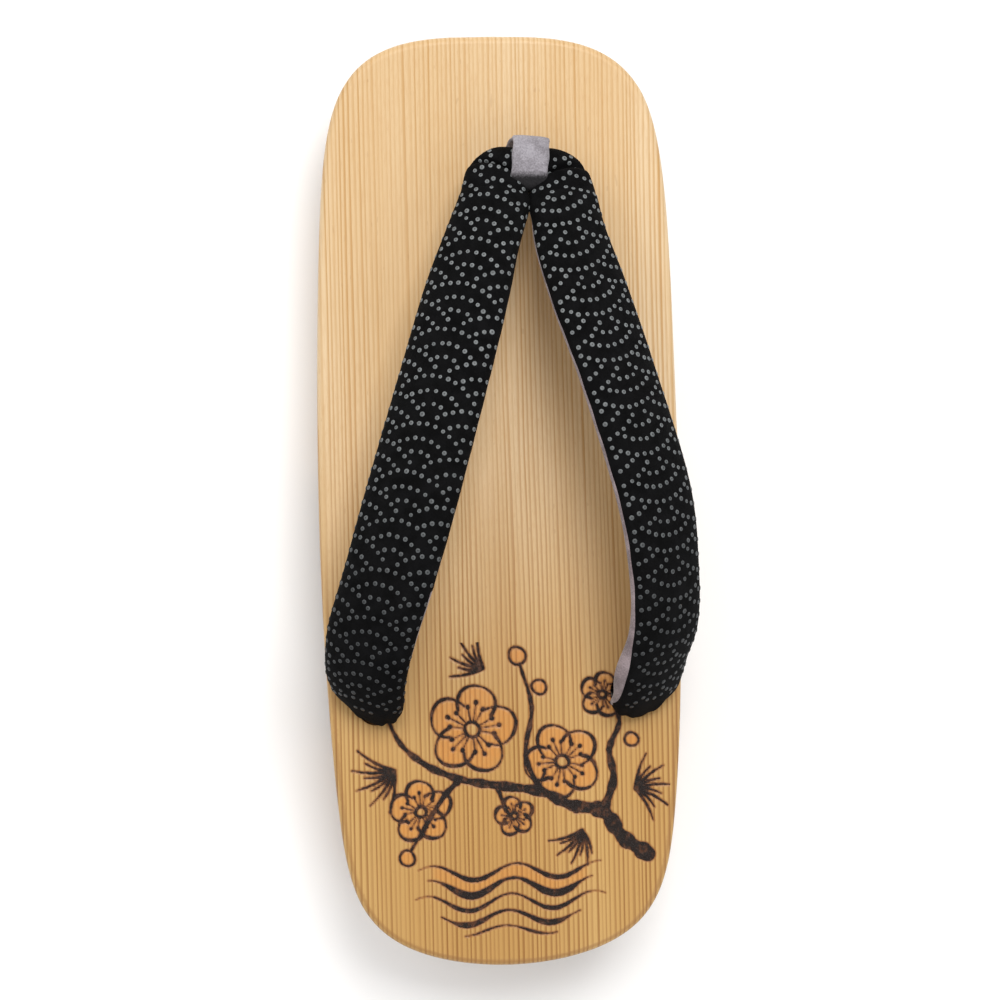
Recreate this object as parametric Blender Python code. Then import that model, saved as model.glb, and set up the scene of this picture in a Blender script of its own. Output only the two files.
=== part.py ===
"""A geta for the left foot: a cedar base with two low feet, a padded V strap, its front loop and three knots.

Metres, +Z up. The origin is on the floor under the middle of the base, +Y points to the toe and +X to the big
toe's side. A depth is a distance back from the toe's tip, so y = BASE_LENGTH / 2 - depth.
"""

import math

import bmesh
import bpy
import numpy as np
from mathutils import Matrix, Vector

# Base, seen from above
BASE_LENGTH = 0.255
BASE_WIDTH = 0.0998
TOE_SQUARENESS = (10.44, 3.10)
HEEL_SQUARENESS = (13.0, 1.92)
TOE_NARROWING = 0.106
HEEL_NARROWING = 0.161

# Base, top face
BALL_HEIGHT = 0.030
HEEL_RISE = 0.011
RISE_START = 0.075
RISE_LENGTH = 0.130
TOE_SPRING = 0.003
SPRING_LENGTH = 0.060
TOP_DISH = 0.0012
EDGE_ROUND = 0.0022

# Base, walls and underside
SIDE_BATTER = 0.10
FOOT_CHAMFER = 0.0010
NOSE_THICKNESS = 0.0145
NOSE_LENGTH = 0.048
NOSE_BOW = 1.6
FRONT_FOOT_LENGTH = 0.070
ARCH_LENGTH = 0.079
ARCH_FRONT_HEIGHT = 0.015
ARCH_REAR_HEIGHT = 0.020
ARCH_FACE_RUN = 0.009
REAR_FOOT_LENGTH = 0.043
TAIL_LIFT = 0.004

# Holes
FRONT_HOLE_DEPTH = 0.0371
FRONT_HOLE_OFFSET = 0.007
FRONT_HOLE_DIAMETER = 0.0105
KNOT_POCKET_DIAMETER = 0.019
KNOT_POCKET_TOP = 0.0165
REAR_HOLE_DEPTH = 0.1815
REAR_HOLE_SPREAD = 0.3507 * BASE_WIDTH
REAR_HOLE_DIAMETER = 0.012
REAR_HOLE_LEAN_FORWARD = math.radians(20)
REAR_HOLE_LEAN_IN = math.radians(8)

# Strap
STRAP_WIDTH = 0.025
STRAP_THICKNESS = 0.0095
STRAP_RISE = 0.030
LINING_FLATNESS = 0.80
NECK_WIDTH = 0.0104
NECK_THICKNESS = 0.0095
NECK_HEIGHT = 0.013
NECK_LEAN = 0.0022
NECK_OVERLAP = 0.0030
STRAP_SQUARENESS = 2.3
TAIL_WIDTH = 0.0096
TAIL_THICKNESS = 0.0082
TAIL_START = -0.0008
TAIL_DEPTH = 0.008

# Front loop and knots
LOOP_WIDTH = 0.0100
LOOP_THICKNESS = 0.0017
LOOP_BITE = 0.0006
LOOP_SLACK = 0.0020
LOOP_TURN = math.radians(-5)
LOOP_SQUARENESS = 3.2
CROWN_ROUNDNESS = 0.8
LEG_WIDTH = 0.0068
LEG_SPREAD = 0.0021
KNOT_DIAMETER = 0.0135
KNOT_HEIGHT = 0.0090
KNOT_SINK = 0.5
STEM_DIAMETER = 0.0060
BORE_MARGIN = 0.0066
CLEARANCE = 0.0004

# Mesh steps
END_STEPS = 15
ROW_STEP = 0.0065
COLUMNS = 10
EDGE_STEPS = 3
STRAP_SIDES = 20
STRAP_SUBSTEPS = 3
LOOP_SIDES = 12
KNOT_SIDES = 18
HOLE_SIDES = 24

# Strap stations from the front neck to the rear hole. along and across run from 0 at the neck to 1 at the
# rear hole. height is a share of STRAP_RISE over the top face, and width and thickness are shares of the
# strap's. swing turns the strap's width axis towards the toe, and lean drops its outer edge, both in degrees.
OUTER_ARM = [
    # along, across, height, width, thickness, swing, lean
    (0.006, 0.102, 0.455, 0.480, 1.000, 68.0, 3.0),
    (0.017, 0.163, 0.485, 0.600, 1.000, 48.0, 8.0),
    (0.033, 0.219, 0.530, 0.690, 1.000, 33.0, 12.0),
    (0.066, 0.256, 0.585, 0.730, 1.000, 22.0, 16.0),
    (0.136, 0.314, 0.690, 0.825, 1.000, 17.0, 20.0),
    (0.247, 0.421, 0.820, 0.950, 1.000, 16.5, 23.0),
    (0.395, 0.567, 0.935, 1.000, 1.000, 16.5, 25.0),
    (0.616, 0.787, 1.000, 1.030, 1.000, 17.0, 25.0),
    (0.766, 0.937, 0.915, 1.010, 1.000, 16.0, 24.0),
    (0.864, 1.038, 0.725, 1.000, 1.000, 14.0, 24.0),
    (0.934, 1.077, 0.490, 0.940, 0.980, 17.0, 23.0),
    (0.976, 1.068, 0.290, 0.800, 0.970, 24.0, 18.0),
    (0.996, 1.036, 0.140, 0.600, 0.950, 28.0, 8.0),
]
INNER_ARM = [
    # along, across, height, width, thickness, swing, lean
    (0.008, 0.160, 0.455, 0.490, 1.000, 66.0, 3.0),
    (0.022, 0.236, 0.485, 0.640, 1.000, 46.0, 8.0),
    (0.046, 0.279, 0.530, 0.780, 1.000, 31.0, 12.0),
    (0.082, 0.330, 0.600, 0.780, 1.000, 21.0, 17.0),
    (0.143, 0.366, 0.690, 0.850, 1.000, 17.5, 22.0),
    (0.252, 0.542, 0.820, 0.950, 1.000, 17.5, 27.0),
    (0.397, 0.793, 0.935, 0.990, 1.000, 17.0, 30.0),
    (0.617, 1.105, 1.000, 1.020, 1.000, 13.0, 33.0),
    (0.767, 1.198, 0.915, 1.000, 1.000, 6.0, 36.0),
    (0.865, 1.182, 0.725, 0.970, 1.000, 7.0, 36.0),
    (0.934, 1.090, 0.490, 0.900, 0.980, 14.0, 32.0),
    (0.976, 1.045, 0.290, 0.860, 0.970, 22.0, 22.0),
    (0.996, 1.005, 0.140, 0.680, 0.950, 26.0, 8.0),
]

# The loop's side from the neck down to the front hole, and its leg from the hole down to the knot
LOOP_CROWN_STEPS = 6
LOOP_SIDE = [
    # spread share of the loop's reach, drop share of the neck's height over the hole, width share
    (1.000, 0.000, 1.00),
    (0.960, 0.226, 1.00),
    (0.720, 0.660, 0.92),
    (0.425, 0.880, 0.55),
]
LOOP_LEG = [
    # spread share of LEG_SPREAD, drop share from the hole's top to the turn above the knot, width share
    (1.0, 0.000, 0.2),
    (1.0, 0.180, 0.0),
    (1.0, 0.500, 0.0),
    (1.0, 0.890, 0.0),
    (0.5, 0.980, 0.0),
]

# Rings of a knot's body, from the seat down: share of the knot's height and share of its radius
KNOT_RINGS = [
    (0.02, 0.40),
    (0.10, 0.74),
    (0.28, 0.97),
    (0.50, 1.00),
    (0.72, 0.93),
    (0.90, 0.66),
    (0.98, 0.34),
]
KNOT_LOBES = 3
LOBE_SHARE = 0.10
LOBE_TWIST = 1.6

HALF_LENGTH = BASE_LENGTH / 2
HALF_WIDTH = BASE_WIDTH / 2
FRONT_FOOT_END = NOSE_LENGTH + FRONT_FOOT_LENGTH
REAR_FOOT_START = FRONT_FOOT_END + ARCH_LENGTH
REAR_FOOT_END = REAR_FOOT_START + REAR_FOOT_LENGTH
BREAKS = (
    NOSE_LENGTH,
    FRONT_FOOT_END,
    FRONT_FOOT_END + ARCH_FACE_RUN,
    REAR_FOOT_START - ARCH_FACE_RUN,
    REAR_FOOT_START,
    REAR_FOOT_END,
)


def clear_scene():
    for obj in list(bpy.data.objects):
        bpy.data.objects.remove(obj, do_unlink=True)


def make_material(name, colour, roughness):
    """A plain finish: linear RGB colour and roughness, no metal."""
    material = bpy.data.materials.new(name)
    material.use_nodes = True
    shader = material.node_tree.nodes["Principled BSDF"]
    shader.inputs["Base Color"].default_value = (*colour, 1.0)
    shader.inputs["Roughness"].default_value = roughness
    shader.inputs["Metallic"].default_value = 0.0
    return material


def make_object(name, bm, material):
    """Turns a bmesh into a smooth shaded object with outward faces."""
    bmesh.ops.recalc_face_normals(bm, faces=bm.faces)
    mesh = bpy.data.meshes.new(name)
    bm.to_mesh(mesh)
    bm.free()
    mesh.shade_smooth()
    mesh.set_sharp_from_angle(angle=math.radians(40))
    obj = bpy.data.objects.new(name, mesh)
    bpy.context.scene.collection.objects.link(obj)
    if material:
        mesh.materials.append(material)
    return obj


def apply_boolean(obj, tool, operation):
    """Cuts or joins a hidden tool object, which stays in the file as a guide."""
    tool.hide_render = True
    tool.display_type = "WIRE"
    modifier = obj.modifiers.new(tool.name, "BOOLEAN")
    modifier.operation = operation
    modifier.solver = "EXACT"
    modifier.object = tool
    modifier.show_render = modifier.show_viewport = True


def smoothstep(share):
    share = min(max(share, 0.0), 1.0)
    return share * share * (3 - 2 * share)


def outline_point(angle, toe):
    """Depth from the nearer end and half width of the outline, at an angle from that end's tip."""
    length_power, width_power = TOE_SQUARENESS if toe else HEEL_SQUARENESS
    narrowing = TOE_NARROWING if toe else HEEL_NARROWING
    reach = math.cos(angle) ** (2 / length_power)
    half_width = HALF_WIDTH * (1 - narrowing * reach**2) * math.sin(angle) ** (2 / width_power)
    return HALF_LENGTH * (1 - reach), half_width


def half_width_at(depth):
    """Half width of the outline at a depth from the toe."""
    toe = depth <= HALF_LENGTH
    length_power, width_power = TOE_SQUARENESS if toe else HEEL_SQUARENESS
    narrowing = TOE_NARROWING if toe else HEEL_NARROWING
    reach = min(abs(1 - depth / HALF_LENGTH), 1.0)
    return HALF_WIDTH * (1 - narrowing * reach**2) * (1 - reach**length_power) ** (1 / width_power)


def top_height(x, y):
    """Height of the top face: level ball, a rise to the heel, a toe spring and a shallow dish across."""
    depth = HALF_LENGTH - y
    rise = HEEL_RISE * smoothstep((depth - RISE_START) / RISE_LENGTH)
    spring = TOE_SPRING * max(0.0, 1 - depth / SPRING_LENGTH) ** 2
    dish = TOP_DISH * max(0.0, 1 - (x / HALF_WIDTH) ** 2)
    return BALL_HEIGHT + rise + spring - dish


def bottom_height(depth):
    """Height of the underside: bowed nose, front foot, arch, rear foot and lifted tail."""
    nose_lift = BALL_HEIGHT + TOE_SPRING - NOSE_THICKNESS
    arch_start = FRONT_FOOT_END + ARCH_FACE_RUN
    arch_end = REAR_FOOT_START - ARCH_FACE_RUN
    if depth < NOSE_LENGTH:
        return nose_lift * (1 - (max(depth, 0.0) / NOSE_LENGTH) ** NOSE_BOW)
    marks = (NOSE_LENGTH, FRONT_FOOT_END, arch_start, arch_end, REAR_FOOT_START, REAR_FOOT_END, BASE_LENGTH)
    heights = (0.0, 0.0, ARCH_FRONT_HEIGHT, ARCH_REAR_HEIGHT, 0.0, 0.0, TAIL_LIFT)
    return float(np.interp(depth, marks, heights))


def base_rows():
    """Depth and half width of each row: dense where the outline turns, and on every break below."""
    first = math.radians(90 / END_STEPS)
    angles = [first * (step + 1) for step in range(END_STEPS - 3)]
    toe_rows = [outline_point(angle, True) for angle in angles]
    heel_rows = [outline_point(angle, False) for angle in angles]
    toe_rows[0] = (0.0, toe_rows[0][1])
    heel_rows[0] = (0.0, heel_rows[0][1])
    start, end = toe_rows[-1][0], BASE_LENGTH - heel_rows[-1][0]
    steps = math.ceil((end - start) / ROW_STEP)
    depths = [start + (end - start) * step / steps for step in range(1, steps)]
    rows = toe_rows + [(depth, half_width_at(depth)) for depth in depths]
    rows += [(BASE_LENGTH - depth, width) for depth, width in reversed(heel_rows)]
    for mark in BREAKS:
        nearest = min(range(1, len(rows) - 1), key=lambda index: abs(rows[index][0] - mark))
        rows[nearest] = (mark, half_width_at(mark))
    return rows


def inset_side(side, inset):
    """Moves the points of the base's +X side inwards, square to the outline."""
    points = [Vector((-side[0].x, side[0].y)), *side, Vector((-side[-1].x, side[-1].y))]
    moved = []
    for before, here, after in zip(points, points[1:], points[2:]):
        first, second = (here - before).normalized(), (after - here).normalized()
        along = (first + second).normalized()
        moved.append(here + Vector((along.y, -along.x)) * inset)
    return moved


def build_base(material):
    """The base: a grid on top, a rounded edge, battered walls, a chamfer and a grid below."""
    rows = base_rows()
    side = [Vector((width, HALF_LENGTH - depth)) for depth, width in rows]
    last = len(rows) - 1
    grid = [(row, column) for row in range(last + 1) for column in range(COLUMNS + 1)]
    loop = [(0, column) for column in range(COLUMNS + 1)]
    loop += [(row, COLUMNS) for row in range(1, last + 1)]
    loop += [(last, column) for column in range(COLUMNS - 1, -1, -1)]
    loop += [(row, 0) for row in range(last - 1, 0, -1)]
    bm = bmesh.new()

    def place(points, cells, height):
        """Vertices at grid cells: each row runs straight across between its two side points."""
        made = {}
        for row, column in cells:
            x = points[row].x * (2 * column / COLUMNS - 1)
            made[row, column] = bm.verts.new((x, points[row].y, height(row, x, points[row].y)))
        return made

    def skin(upper, lower):
        for here, after in zip(loop, loop[1:] + loop[:1]):
            bm.faces.new((upper[here], upper[after], lower[after], lower[here]))

    def fill(made):
        for row in range(last):
            for column in range(COLUMNS):
                corners = ((row, column), (row, column + 1), (row + 1, column + 1), (row + 1, column))
                bm.faces.new([made[corner] for corner in corners])

    def wall_top(x, y):
        return top_height(x, y) - EDGE_ROUND

    top = place(inset_side(side, EDGE_ROUND), grid, lambda row, x, y: top_height(x, y))
    fill(top)
    ring = top
    for step in range(1, EDGE_STEPS + 1):
        turn = math.pi / 2 * step / EDGE_STEPS
        points = inset_side(side, EDGE_ROUND * (1 - math.sin(turn)))
        drop = EDGE_ROUND * (1 - math.cos(turn))
        lower = place(points, loop, lambda row, x, y: top_height(x, y) - drop)
        skin(ring, lower)
        ring = lower
    floor = [bottom_height(depth) for depth, _ in rows]
    foot = []
    for point, low in zip(side, floor):
        wall = wall_top(point.x, point.y) - low - FOOT_CHAMFER
        foot.append(Vector((point.x * (1 - SIDE_BATTER * wall / HALF_WIDTH), point.y)))
    lower = place(foot, loop, lambda row, x, y: floor[row] + FOOT_CHAMFER)
    skin(ring, lower)
    bottom = place(inset_side(foot, FOOT_CHAMFER), grid, lambda row, x, y: floor[row])
    skin(lower, bottom)
    fill(bottom)
    return make_object("base", bm, material)


def build_cylinder(name, start, end, diameter):
    """A closed cylinder between two points."""
    axis = end - start
    turn = axis.to_track_quat("Z", "Y").to_matrix().to_4x4()
    bm = bmesh.new()
    bmesh.ops.create_cone(
        bm,
        cap_ends=True,
        segments=HOLE_SIDES,
        radius1=diameter / 2,
        radius2=diameter / 2,
        depth=axis.length,
        matrix=Matrix.Translation((start + end) / 2) @ turn,
    )
    return make_object(name, bm, None)


def front_hole():
    """Centre of the front hole on the top face."""
    y = HALF_LENGTH - FRONT_HOLE_DEPTH
    return Vector((FRONT_HOLE_OFFSET, y, top_height(FRONT_HOLE_OFFSET, y)))


def rear_hole(side):
    """Centre of a rear hole on the top face and its way down. side is 1 at the big toe."""
    x, y = side * REAR_HOLE_SPREAD, HALF_LENGTH - REAR_HOLE_DEPTH
    lean = Vector((-side * math.tan(REAR_HOLE_LEAN_IN), math.tan(REAR_HOLE_LEAN_FORWARD), -1))
    return Vector((x, y, top_height(x, y))), lean.normalized()


def neck_centre():
    """Middle of the strap's neck, pulled back inside the front loop."""
    return front_hole() + Vector((NECK_LEAN, -LOOP_SLACK / 2, NECK_HEIGHT))


def bore_holes(base):
    """Cuts the front hole, the pocket of its knot and the two rear holes."""
    top = front_hole()
    pocket = Vector((top.x, top.y, KNOT_POCKET_TOP))
    below = Vector((top.x, top.y, -BORE_MARGIN))
    above = top + Vector((0, 0, BORE_MARGIN))
    apply_boolean(base, build_cylinder("front_bore", above, below, FRONT_HOLE_DIAMETER), "DIFFERENCE")
    apply_boolean(base, build_cylinder("pocket_bore", pocket, below, KNOT_POCKET_DIAMETER), "DIFFERENCE")
    for side, name in ((-1, "rear_bore_left"), (1, "rear_bore_right")):
        hole, lean = rear_hole(side)
        start, end = hole - lean * BORE_MARGIN * 2, hole + lean * BALL_HEIGHT
        apply_boolean(base, build_cylinder(name, start, end, REAR_HOLE_DIAMETER), "DIFFERENCE")


def smooth_rows(rows, substeps):
    """Puts stations between the rows of a table, on a Catmull-Rom curve through each column."""
    values = np.array(rows)
    padded = np.vstack([2 * values[0] - values[1], values, 2 * values[-1] - values[-2]])
    result = []
    for before, start, end, after in zip(padded, padded[1:], padded[2:], padded[3:]):
        for step in range(substeps):
            share = step / substeps
            curve = 2 * start + (end - before) * share
            curve += (2 * before - 5 * start + 4 * end - after) * share**2
            curve += (3 * start - before - 3 * end + after) * share**3
            result.append(curve / 2)
    result.append(values[-1])
    return result


def rounded_ring(sides, squareness, lower_share=1.0):
    """Points of a rounded section two units wide and high, whose lower half may be flatter."""
    ring = []
    for index in range(sides):
        angle = 2 * math.pi * index / sides
        across, up = math.cos(angle), math.sin(angle)
        across = math.copysign(abs(across) ** (2 / squareness), across)
        up = math.copysign(abs(up) ** (2 / squareness), up)
        ring.append((across, up if up > 0 else up * lower_share))
    return ring


def skin_rings(bm, rings, closed):
    """Joins rings of points into a tube, with its ends capped or joined to each other."""
    made = [[bm.verts.new(point) for point in ring] for ring in rings]
    pairs = list(zip(made, made[1:] + made[:1])) if closed else list(zip(made, made[1:]))
    for ring, after in pairs:
        for index in range(len(ring)):
            follow = (index + 1) % len(ring)
            bm.faces.new((ring[index], ring[follow], after[follow], after[index]))
    if not closed:
        for ring, nearer in ((made[0], rings[0]), (made[-1], rings[-1])):
            centre = bm.verts.new(sum(nearer, Vector()) / len(nearer))
            for index in range(len(ring)):
                bm.faces.new((ring[index], ring[(index + 1) % len(ring)], centre))


def arm_stations(table, side):
    """Places, sizes and turns of an arm's sections, from past the neck to inside the rear hole."""
    neck, (hole, lean) = neck_centre(), rear_hole(side)
    level = NECK_HEIGHT / STRAP_RISE
    neck_share = (NECK_WIDTH / STRAP_WIDTH, NECK_THICKNESS / STRAP_THICKNESS)
    span = hole.x - neck.x
    neck_ends = (-side * NECK_OVERLAP / span, 0.0)
    neck_rows = [(0.0, across, level, *neck_share, 90.0, 0.0) for across in neck_ends]
    stations = []
    for along, across, height, width, thickness, swing, drop in neck_rows + table:
        x = neck.x + span * across
        y = neck.y + (hole.y - neck.y) * along
        z = top_height(x, y) + STRAP_RISE * height
        stations.append((x, y, z, STRAP_WIDTH * width, STRAP_THICKNESS * thickness, swing, drop))
    swing = table[-1][5]
    for depth in (TAIL_START, TAIL_DEPTH / 2, TAIL_DEPTH):
        place = hole + lean * depth
        stations.append((*place, TAIL_WIDTH, TAIL_THICKNESS, swing, 0.0))
    return stations


def build_arm(name, table, side, material):
    """One padded arm of the strap, lofted through its stations."""
    stations = smooth_rows(arm_stations(table, side), STRAP_SUBSTEPS)
    places = [Vector(station[:3]) for station in stations]
    section = rounded_ring(STRAP_SIDES, STRAP_SQUARENESS, LINING_FLATNESS)
    rings = []
    for index, (place, station) in enumerate(zip(places, stations)):
        _, _, _, width, thickness, swing, lean = station
        tangent = places[min(index + 1, len(places) - 1)] - places[max(index - 1, 0)]
        swing, lean = math.radians(swing), math.radians(lean)
        across = Vector((side * math.cos(swing), math.sin(swing), -math.tan(lean))).normalized()
        face = (tangent.cross(across) * side).normalized()
        rings.append([place + across * (u * width / 2) + face * (v * thickness / 2) for u, v in section])
    bm = bmesh.new()
    skin_rings(bm, rings, closed=False)
    return make_object(name, bm, material)


def build_straps(material):
    """Both arms, joined into one solid at the neck, with the groove that the front loop presses into them."""
    straps = build_arm("straps", OUTER_ARM, -1, material)
    apply_boolean(straps, build_arm("inner_arm", INNER_ARM, 1, None), "UNION")
    apply_boolean(straps, build_front_loop("loop_groove", None, CLEARANCE), "DIFFERENCE")


def build_front_loop(name, material, growth=0.0):
    """The felt band round the neck, whose legs go down the front hole and meet above the knot."""
    neck, hole = neck_centre(), front_hole()
    gap = CLEARANCE + LOOP_THICKNESS / 2 - LOOP_BITE
    reach, crown = (NECK_WIDTH + LOOP_SLACK) / 2 + gap, NECK_THICKNESS / 2 + gap
    base_drop = hole.z - neck.z
    foot = KNOT_POCKET_TOP + LOOP_THICKNESS / 2 + CLEARANCE - neck.z
    half = []
    for step in range(LOOP_CROWN_STEPS):
        angle = math.pi / 2 * (1 - step / LOOP_CROWN_STEPS)
        across, up = math.cos(angle) ** CROWN_ROUNDNESS, math.sin(angle) ** CROWN_ROUNDNESS
        half.append((reach * across, crown * up, 1.0))
    half += [(reach * spread, base_drop * drop, share) for spread, drop, share in LOOP_SIDE]
    for spread, drop, share in LOOP_LEG:
        half.append((LEG_SPREAD * spread, base_drop + (foot - base_drop) * drop, share))
    other_half = [(-spread, drop, share) for spread, drop, share in reversed(half[1:])]
    stations = half + [(0.0, foot, 0.0)] + other_half
    turn = Matrix.Rotation(LOOP_TURN, 3, "Z")
    section = rounded_ring(LOOP_SIDES, LOOP_SQUARENESS)
    rings = []
    for index, (spread, drop, share) in enumerate(stations):
        before, after = stations[index - 1], stations[(index + 1) % len(stations)]
        tangent = Vector((0, after[0] - before[0], after[1] - before[1])).normalized()
        normal = Vector((0, tangent.z, -tangent.y))
        width = LEG_WIDTH + (LOOP_WIDTH - LEG_WIDTH) * share + growth * 2
        lean = NECK_LEAN * min(max(1 - drop / base_drop, 0.0), 1.0)
        centre = hole + Vector((lean, 0, drop - base_drop))
        height = LOOP_THICKNESS / 2 + growth
        ring = [Vector((u * width / 2, spread, 0)) + normal * (v * height) for u, v in section]
        rings.append([centre + turn @ point for point in ring])
    bm = bmesh.new()
    skin_rings(bm, rings, closed=True)
    return make_object(name, bm, material)


def build_knot(name, seat, down, stem, material):
    """A tight round knot hanging from its seat along down, with a stem of cord up into the hole above it."""
    turn = down.to_track_quat("Z", "Y").to_matrix()
    rings = []
    stem_share = STEM_DIAMETER / KNOT_DIAMETER
    stem_rows = [(-stem / KNOT_HEIGHT, stem_share), (0.0, stem_share)] if stem else []
    for along, share in stem_rows + KNOT_RINGS:
        ring = []
        for index in range(KNOT_SIDES):
            angle = 2 * math.pi * index / KNOT_SIDES
            lobe = LOBE_SHARE * math.cos(KNOT_LOBES * angle + LOBE_TWIST * along) if along > 0 else 0.0
            radius = KNOT_DIAMETER / 2 * share * (1 - LOBE_SHARE + lobe)
            point = Vector((radius * math.cos(angle), radius * math.sin(angle), along * KNOT_HEIGHT))
            ring.append(seat + turn @ point)
        rings.append(ring)
    bm = bmesh.new()
    skin_rings(bm, rings, closed=False)
    return make_object(name, bm, material)


def build_knots(material):
    """The knot in its pocket under the nose, and the two that hold the strap under the arch."""
    hole = front_hole()
    seat = Vector((hole.x, hole.y, KNOT_POCKET_TOP - CLEARANCE))
    build_knot("front_knot", seat, Vector((0, 0, -1)), 0.0, material)
    for side, name in ((-1, "rear_knot_left"), (1, "rear_knot_right")):
        hole, lean = rear_hole(side)
        depth = HALF_LENGTH - hole.y
        length = 0.0
        while (hole + lean * length).z > bottom_height(depth - lean.y * length):
            length += CLEARANCE
        length += KNOT_SINK * KNOT_DIAMETER / 2 * math.tan(REAR_HOLE_LEAN_FORWARD)
        stem = length - TAIL_DEPTH - CLEARANCE
        build_knot(name, hole + lean * length, lean, stem, material)


def main():
    clear_scene()
    wood = make_material("cedar", (0.62, 0.40, 0.18), 0.45)
    cotton = make_material("black_cotton", (0.006, 0.006, 0.006), 0.85)
    felt = make_material("grey_felt", (0.40, 0.38, 0.41), 0.95)
    cord = make_material("cotton_cord", (0.10, 0.09, 0.09), 0.90)
    base = build_base(wood)
    bore_holes(base)
    build_straps(cotton)
    build_front_loop("front_loop", felt)
    build_knots(cord)


main()
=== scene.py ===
"""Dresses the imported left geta: brushed cedar with a burnt drawing, a padded strap, its front loop and knots.

Metres, +Z up, +Y to the toe and +X to the big toe's side. A depth is a distance back from the toe's tip.
"""

import logging
import math
from dataclasses import dataclass, field
from enum import Enum

import bpy
import numpy as np
from mathutils import Matrix, Vector


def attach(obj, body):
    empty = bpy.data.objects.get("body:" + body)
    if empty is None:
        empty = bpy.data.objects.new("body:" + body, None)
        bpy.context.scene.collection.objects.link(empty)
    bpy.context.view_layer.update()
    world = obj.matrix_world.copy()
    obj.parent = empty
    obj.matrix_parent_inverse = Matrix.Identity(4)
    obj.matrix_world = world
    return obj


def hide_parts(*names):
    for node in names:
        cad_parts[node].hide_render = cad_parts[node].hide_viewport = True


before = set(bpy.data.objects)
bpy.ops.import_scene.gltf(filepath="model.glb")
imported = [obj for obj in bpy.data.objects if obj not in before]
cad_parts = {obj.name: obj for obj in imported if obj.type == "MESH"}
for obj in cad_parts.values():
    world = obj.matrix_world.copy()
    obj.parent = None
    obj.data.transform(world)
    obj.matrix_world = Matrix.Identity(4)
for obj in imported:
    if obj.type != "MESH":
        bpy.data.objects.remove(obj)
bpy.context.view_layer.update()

LOG = logging.getLogger("geta")
MM = 0.001
ROOT = "root"
RANDOM_SEED = 11


class Slot(Enum):
    """The record's material slots."""

    CEDAR = "cedar"
    COTTON = "strap_cotton"
    FELT = "loop_felt"
    CORD = "knot_cord"


# Arrays and meshes


def smooth(value: np.ndarray) -> np.ndarray:
    """Eases 0 to 1: 3t² - 2t³ of the value held between 0 and 1."""
    share = np.clip(value, 0.0, 1.0)
    return share * share * (3.0 - 2.0 * share)


def bump(value: np.ndarray, centre: float, width: float) -> np.ndarray:
    """A bell of height 1: exp(-((value - centre) / width)²)."""
    return np.exp(-(((value - centre) / width) ** 2))


def unit(vectors: np.ndarray) -> np.ndarray:
    """The vectors divided by their own lengths."""
    return vectors / np.maximum(np.linalg.norm(vectors, axis=-1, keepdims=True), 1e-12)


def spline(rows: np.ndarray, substeps: int) -> np.ndarray:
    """Puts stations between the rows of a table, on the Catmull-Rom cubic through each column.

    Args:
        rows: Table with one station a row.
        substeps: Stations made for each gap between two rows.

    Returns:
        The denser table, with the first and last rows kept.
    """
    padded = np.vstack([2 * rows[0] - rows[1], rows, 2 * rows[-1] - rows[-2]])
    before, start, end, after = (padded[i : len(rows) - 1 + i, None] for i in range(4))
    t = (np.arange(substeps) / substeps)[None, :, None]
    curve = 2 * start + (end - before) * t + (2 * before - 5 * start + 4 * end - after) * t**2
    curve = (curve + (3 * start - before - 3 * end + after) * t**3) / 2
    return np.vstack([curve.reshape(-1, rows.shape[1]), rows[-1]])


def even(points: np.ndarray, values: np.ndarray, count: int) -> tuple[np.ndarray, np.ndarray]:
    """Spaces a path evenly: every column is read again at equal steps of the path's own length.

    Args:
        points: The path, one point a row.
        values: Other columns that go with the points.
        count: Points wanted.

    Returns:
        The evenly spaced table of values, and the length along the path at each.
    """
    lengths = np.concatenate([[0.0], np.cumsum(np.linalg.norm(np.diff(points, axis=0), axis=1))])
    marks = np.linspace(0.0, lengths[-1], count)
    return np.column_stack([np.interp(marks, lengths, column) for column in values.T]), marks


def rounded_section(angles: np.ndarray, squareness: float, lower_share: float = 1.0) -> np.ndarray:
    """A superellipse two units wide and high, |x|^n + |y|^n = 1, whose lower half may be flatter.

    Args:
        angles: Angles round the section, in radians.
        squareness: The power n.
        lower_share: Height of the lower half as a share of the upper half's.

    Returns:
        One (across, up) pair for each angle.
    """
    across, up = np.cos(angles), np.sin(angles)
    across = np.sign(across) * np.abs(across) ** (2 / squareness)
    up = np.sign(up) * np.abs(up) ** (2 / squareness)
    return np.column_stack([across, np.where(up > 0, up, up * lower_share)])


def tube_faces(rings: int, sides: int, closed: bool = False) -> np.ndarray:
    """Quads between neighbouring rings of a tube, with point r * sides + s at ring r and side s.

    Args:
        rings: Count of rings.
        sides: Points in a ring.
        closed: Whether the last ring joins the first.

    Returns:
        The faces, one a row.
    """
    last = rings if closed else rings - 1
    ring, side = np.meshgrid(np.arange(last), np.arange(sides), indexing="ij")
    after, follow = (ring + 1) % rings, (side + 1) % sides
    corners = [ring * sides + side, ring * sides + follow, after * sides + follow, after * sides + side]
    return np.stack(corners, axis=-1).reshape(-1, 4)


def fan_faces(ring: np.ndarray, centre: int) -> np.ndarray:
    """Triangles from each edge of a closed ring of point numbers to one centre point."""
    return np.column_stack([ring, np.roll(ring, -1), np.full(len(ring), centre)])


def full_circle(count: int) -> np.ndarray:
    """Even angles round a circle from 0, in radians, with the last one a step short of the first."""
    return np.linspace(0.0, 2 * math.pi, count, endpoint=False)


def crossways(axis: np.ndarray, aside: tuple) -> tuple[np.ndarray, np.ndarray]:
    """Two unit vectors square to each axis and to one another; aside is any vector well off the axes."""
    first = unit(np.cross(axis, aside))
    return first, np.cross(axis, first)


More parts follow.
